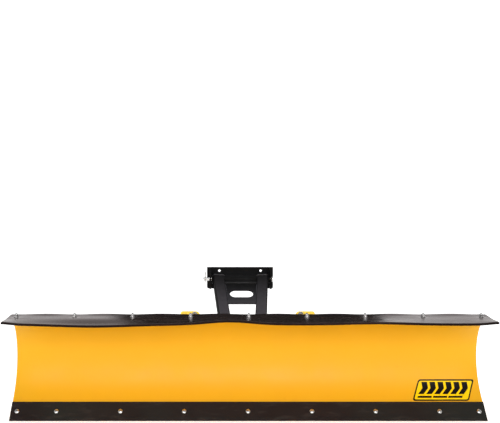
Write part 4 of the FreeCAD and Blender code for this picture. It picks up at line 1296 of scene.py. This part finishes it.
def studio():
    """A surround that is brightest behind the object and falls off overhead, to both sides and in front."""
    world = bpy.data.worlds.new("studio")
    world.use_nodes = True
    sky = Nodes(world.node_tree, "Generated")
    aside = sky.math("ABSOLUTE", sky.along("X"))
    overhead = sky.span(sky.along("Z"), 0.22, 0.80, 1.0, 0.36)
    beside = sky.span(aside, 0.50, 0.80, 1.0, 0.75)
    depth = sky.span(sky.along("Y"), -0.20, 0.70, 0.75, 1.35)
    background = sky.tree.nodes["Background"]
    sky.put(background, "Color", (1, 1, 1, 1))
    sky.put(background, "Strength", sky.math("MULTIPLY", sky.math("MULTIPLY", overhead, beside), depth))
    return world


def dark_card():
    """A black card behind the object that only reflections see, as a photographer flags a glossy top."""
    card = Shader("black_card", Roughness=0.9)
    card.set("Base Color", card.mix(card.noise(2, 2), (0.010, 0.010, 0.010, 1), (0.016, 0.015, 0.015, 1)))
    left, right, low, high = -0.67, 0.81, 0.01, 2.4
    behind = 1.3
    corners = [(left, behind, low), (right, behind, low), (right, behind, high), (left, behind, high)]
    made = stage_sheet("black_card", corners, card.material)
    made.visible_camera = False
    made.visible_diffuse = False
    made.visible_shadow = False
    made.visible_transmission = False


def softbox(name, place, target, size, power):
    data = bpy.data.lights.new(name, "AREA")
    data.shape = "RECTANGLE"
    data.size, data.size_y = size
    data.energy = power
    lamp = bpy.data.objects.new(name, data)
    lamp.location = place
    lamp.rotation_euler = (Vector(target) - Vector(place)).to_track_quat("-Z", "Y").to_euler()
    bpy.context.scene.collection.objects.link(lamp)


def camera():
    data = bpy.data.cameras.new("view")
    data.sensor_width = 36
    data.lens = 56.5
    data.shift_x = 0.0818
    data.shift_y = -0.163
    made = bpy.data.objects.new("view", data)
    made.location = (-0.150, -3.0, 1.1115)
    made.rotation_euler = (math.pi / 2, 0, 0)
    bpy.context.scene.collection.objects.link(made)
    bpy.context.scene.camera = made


camera()
softbox("front", (0.0, -3.4, 1.8), (0, 0, 0.25), (3.4, 1.0), 90)
softbox("left", (-3.0, -1.4, 1.6), (0, 0, 0.2), (1.6, 1.6), 4)
softbox("right", (3.0, -1.4, 1.6), (0, 0, 0.2), (1.6, 1.6), 4)
softbox("back", (0.0, 1.2, 3.8), (0, 0.3, 0.2), (3.0, 1.2), 35)
stage()
dark_card()

moldboard()
flap()
flap_fasteners()
wear_bar_fasteners()
eye_bolts()
decal()
trip_pins()
skid_set_bolts()
crossbar()
king_bolt()
lock()
hitch_pin()
cross_tube()
rear_ends = []
for which, sign in (("left", -1), ("right", 1)):
    trip_spring(which, sign)
    skid_shoe(which, sign)
    rear_ends.append(push_tube(which, sign)[-1])
for node in ("wear_bar", "backing_bar", "mid_ribs", "end_ribs", "swivel_plate", "sector_plate",
             "pivot_plate_top", "pivot_plate_bottom", "lock_bridge", "lock_housing", "lock_cap", "lift_lug",
             "pivot_barrel"):
    softened(node)
for which in ("left", "right"):
    for node in ("hinge_rib_inner", "hinge_rib_outer", "skid_bracket", "hinge_arm", "spring_arm"):
        softened(f"{node}_{which}")
    # Painted light: the tabs take the lighter copy of the blade's yellow.
    softened(f"spring_tab_{which}", material=TAB_LIT_PAINT)
    # Painted shade: the bracket's cheeks take the darker black.
    softened(f"mount_side_{which}", material=PAINTED_SHADE_BLACK)
# Painted shade: the back plate takes the darker black.
softened("mount_back_plate", material=PAINTED_SHADE_BLACK)
# Painted shade: the gusset plate takes the paint that darkens towards its top.
softened("gusset_plate", material=PLATE_SHADED_PAINT)
blade_welds()
swivel_welds()
frame_welds(rear_ends)
mount_welds()
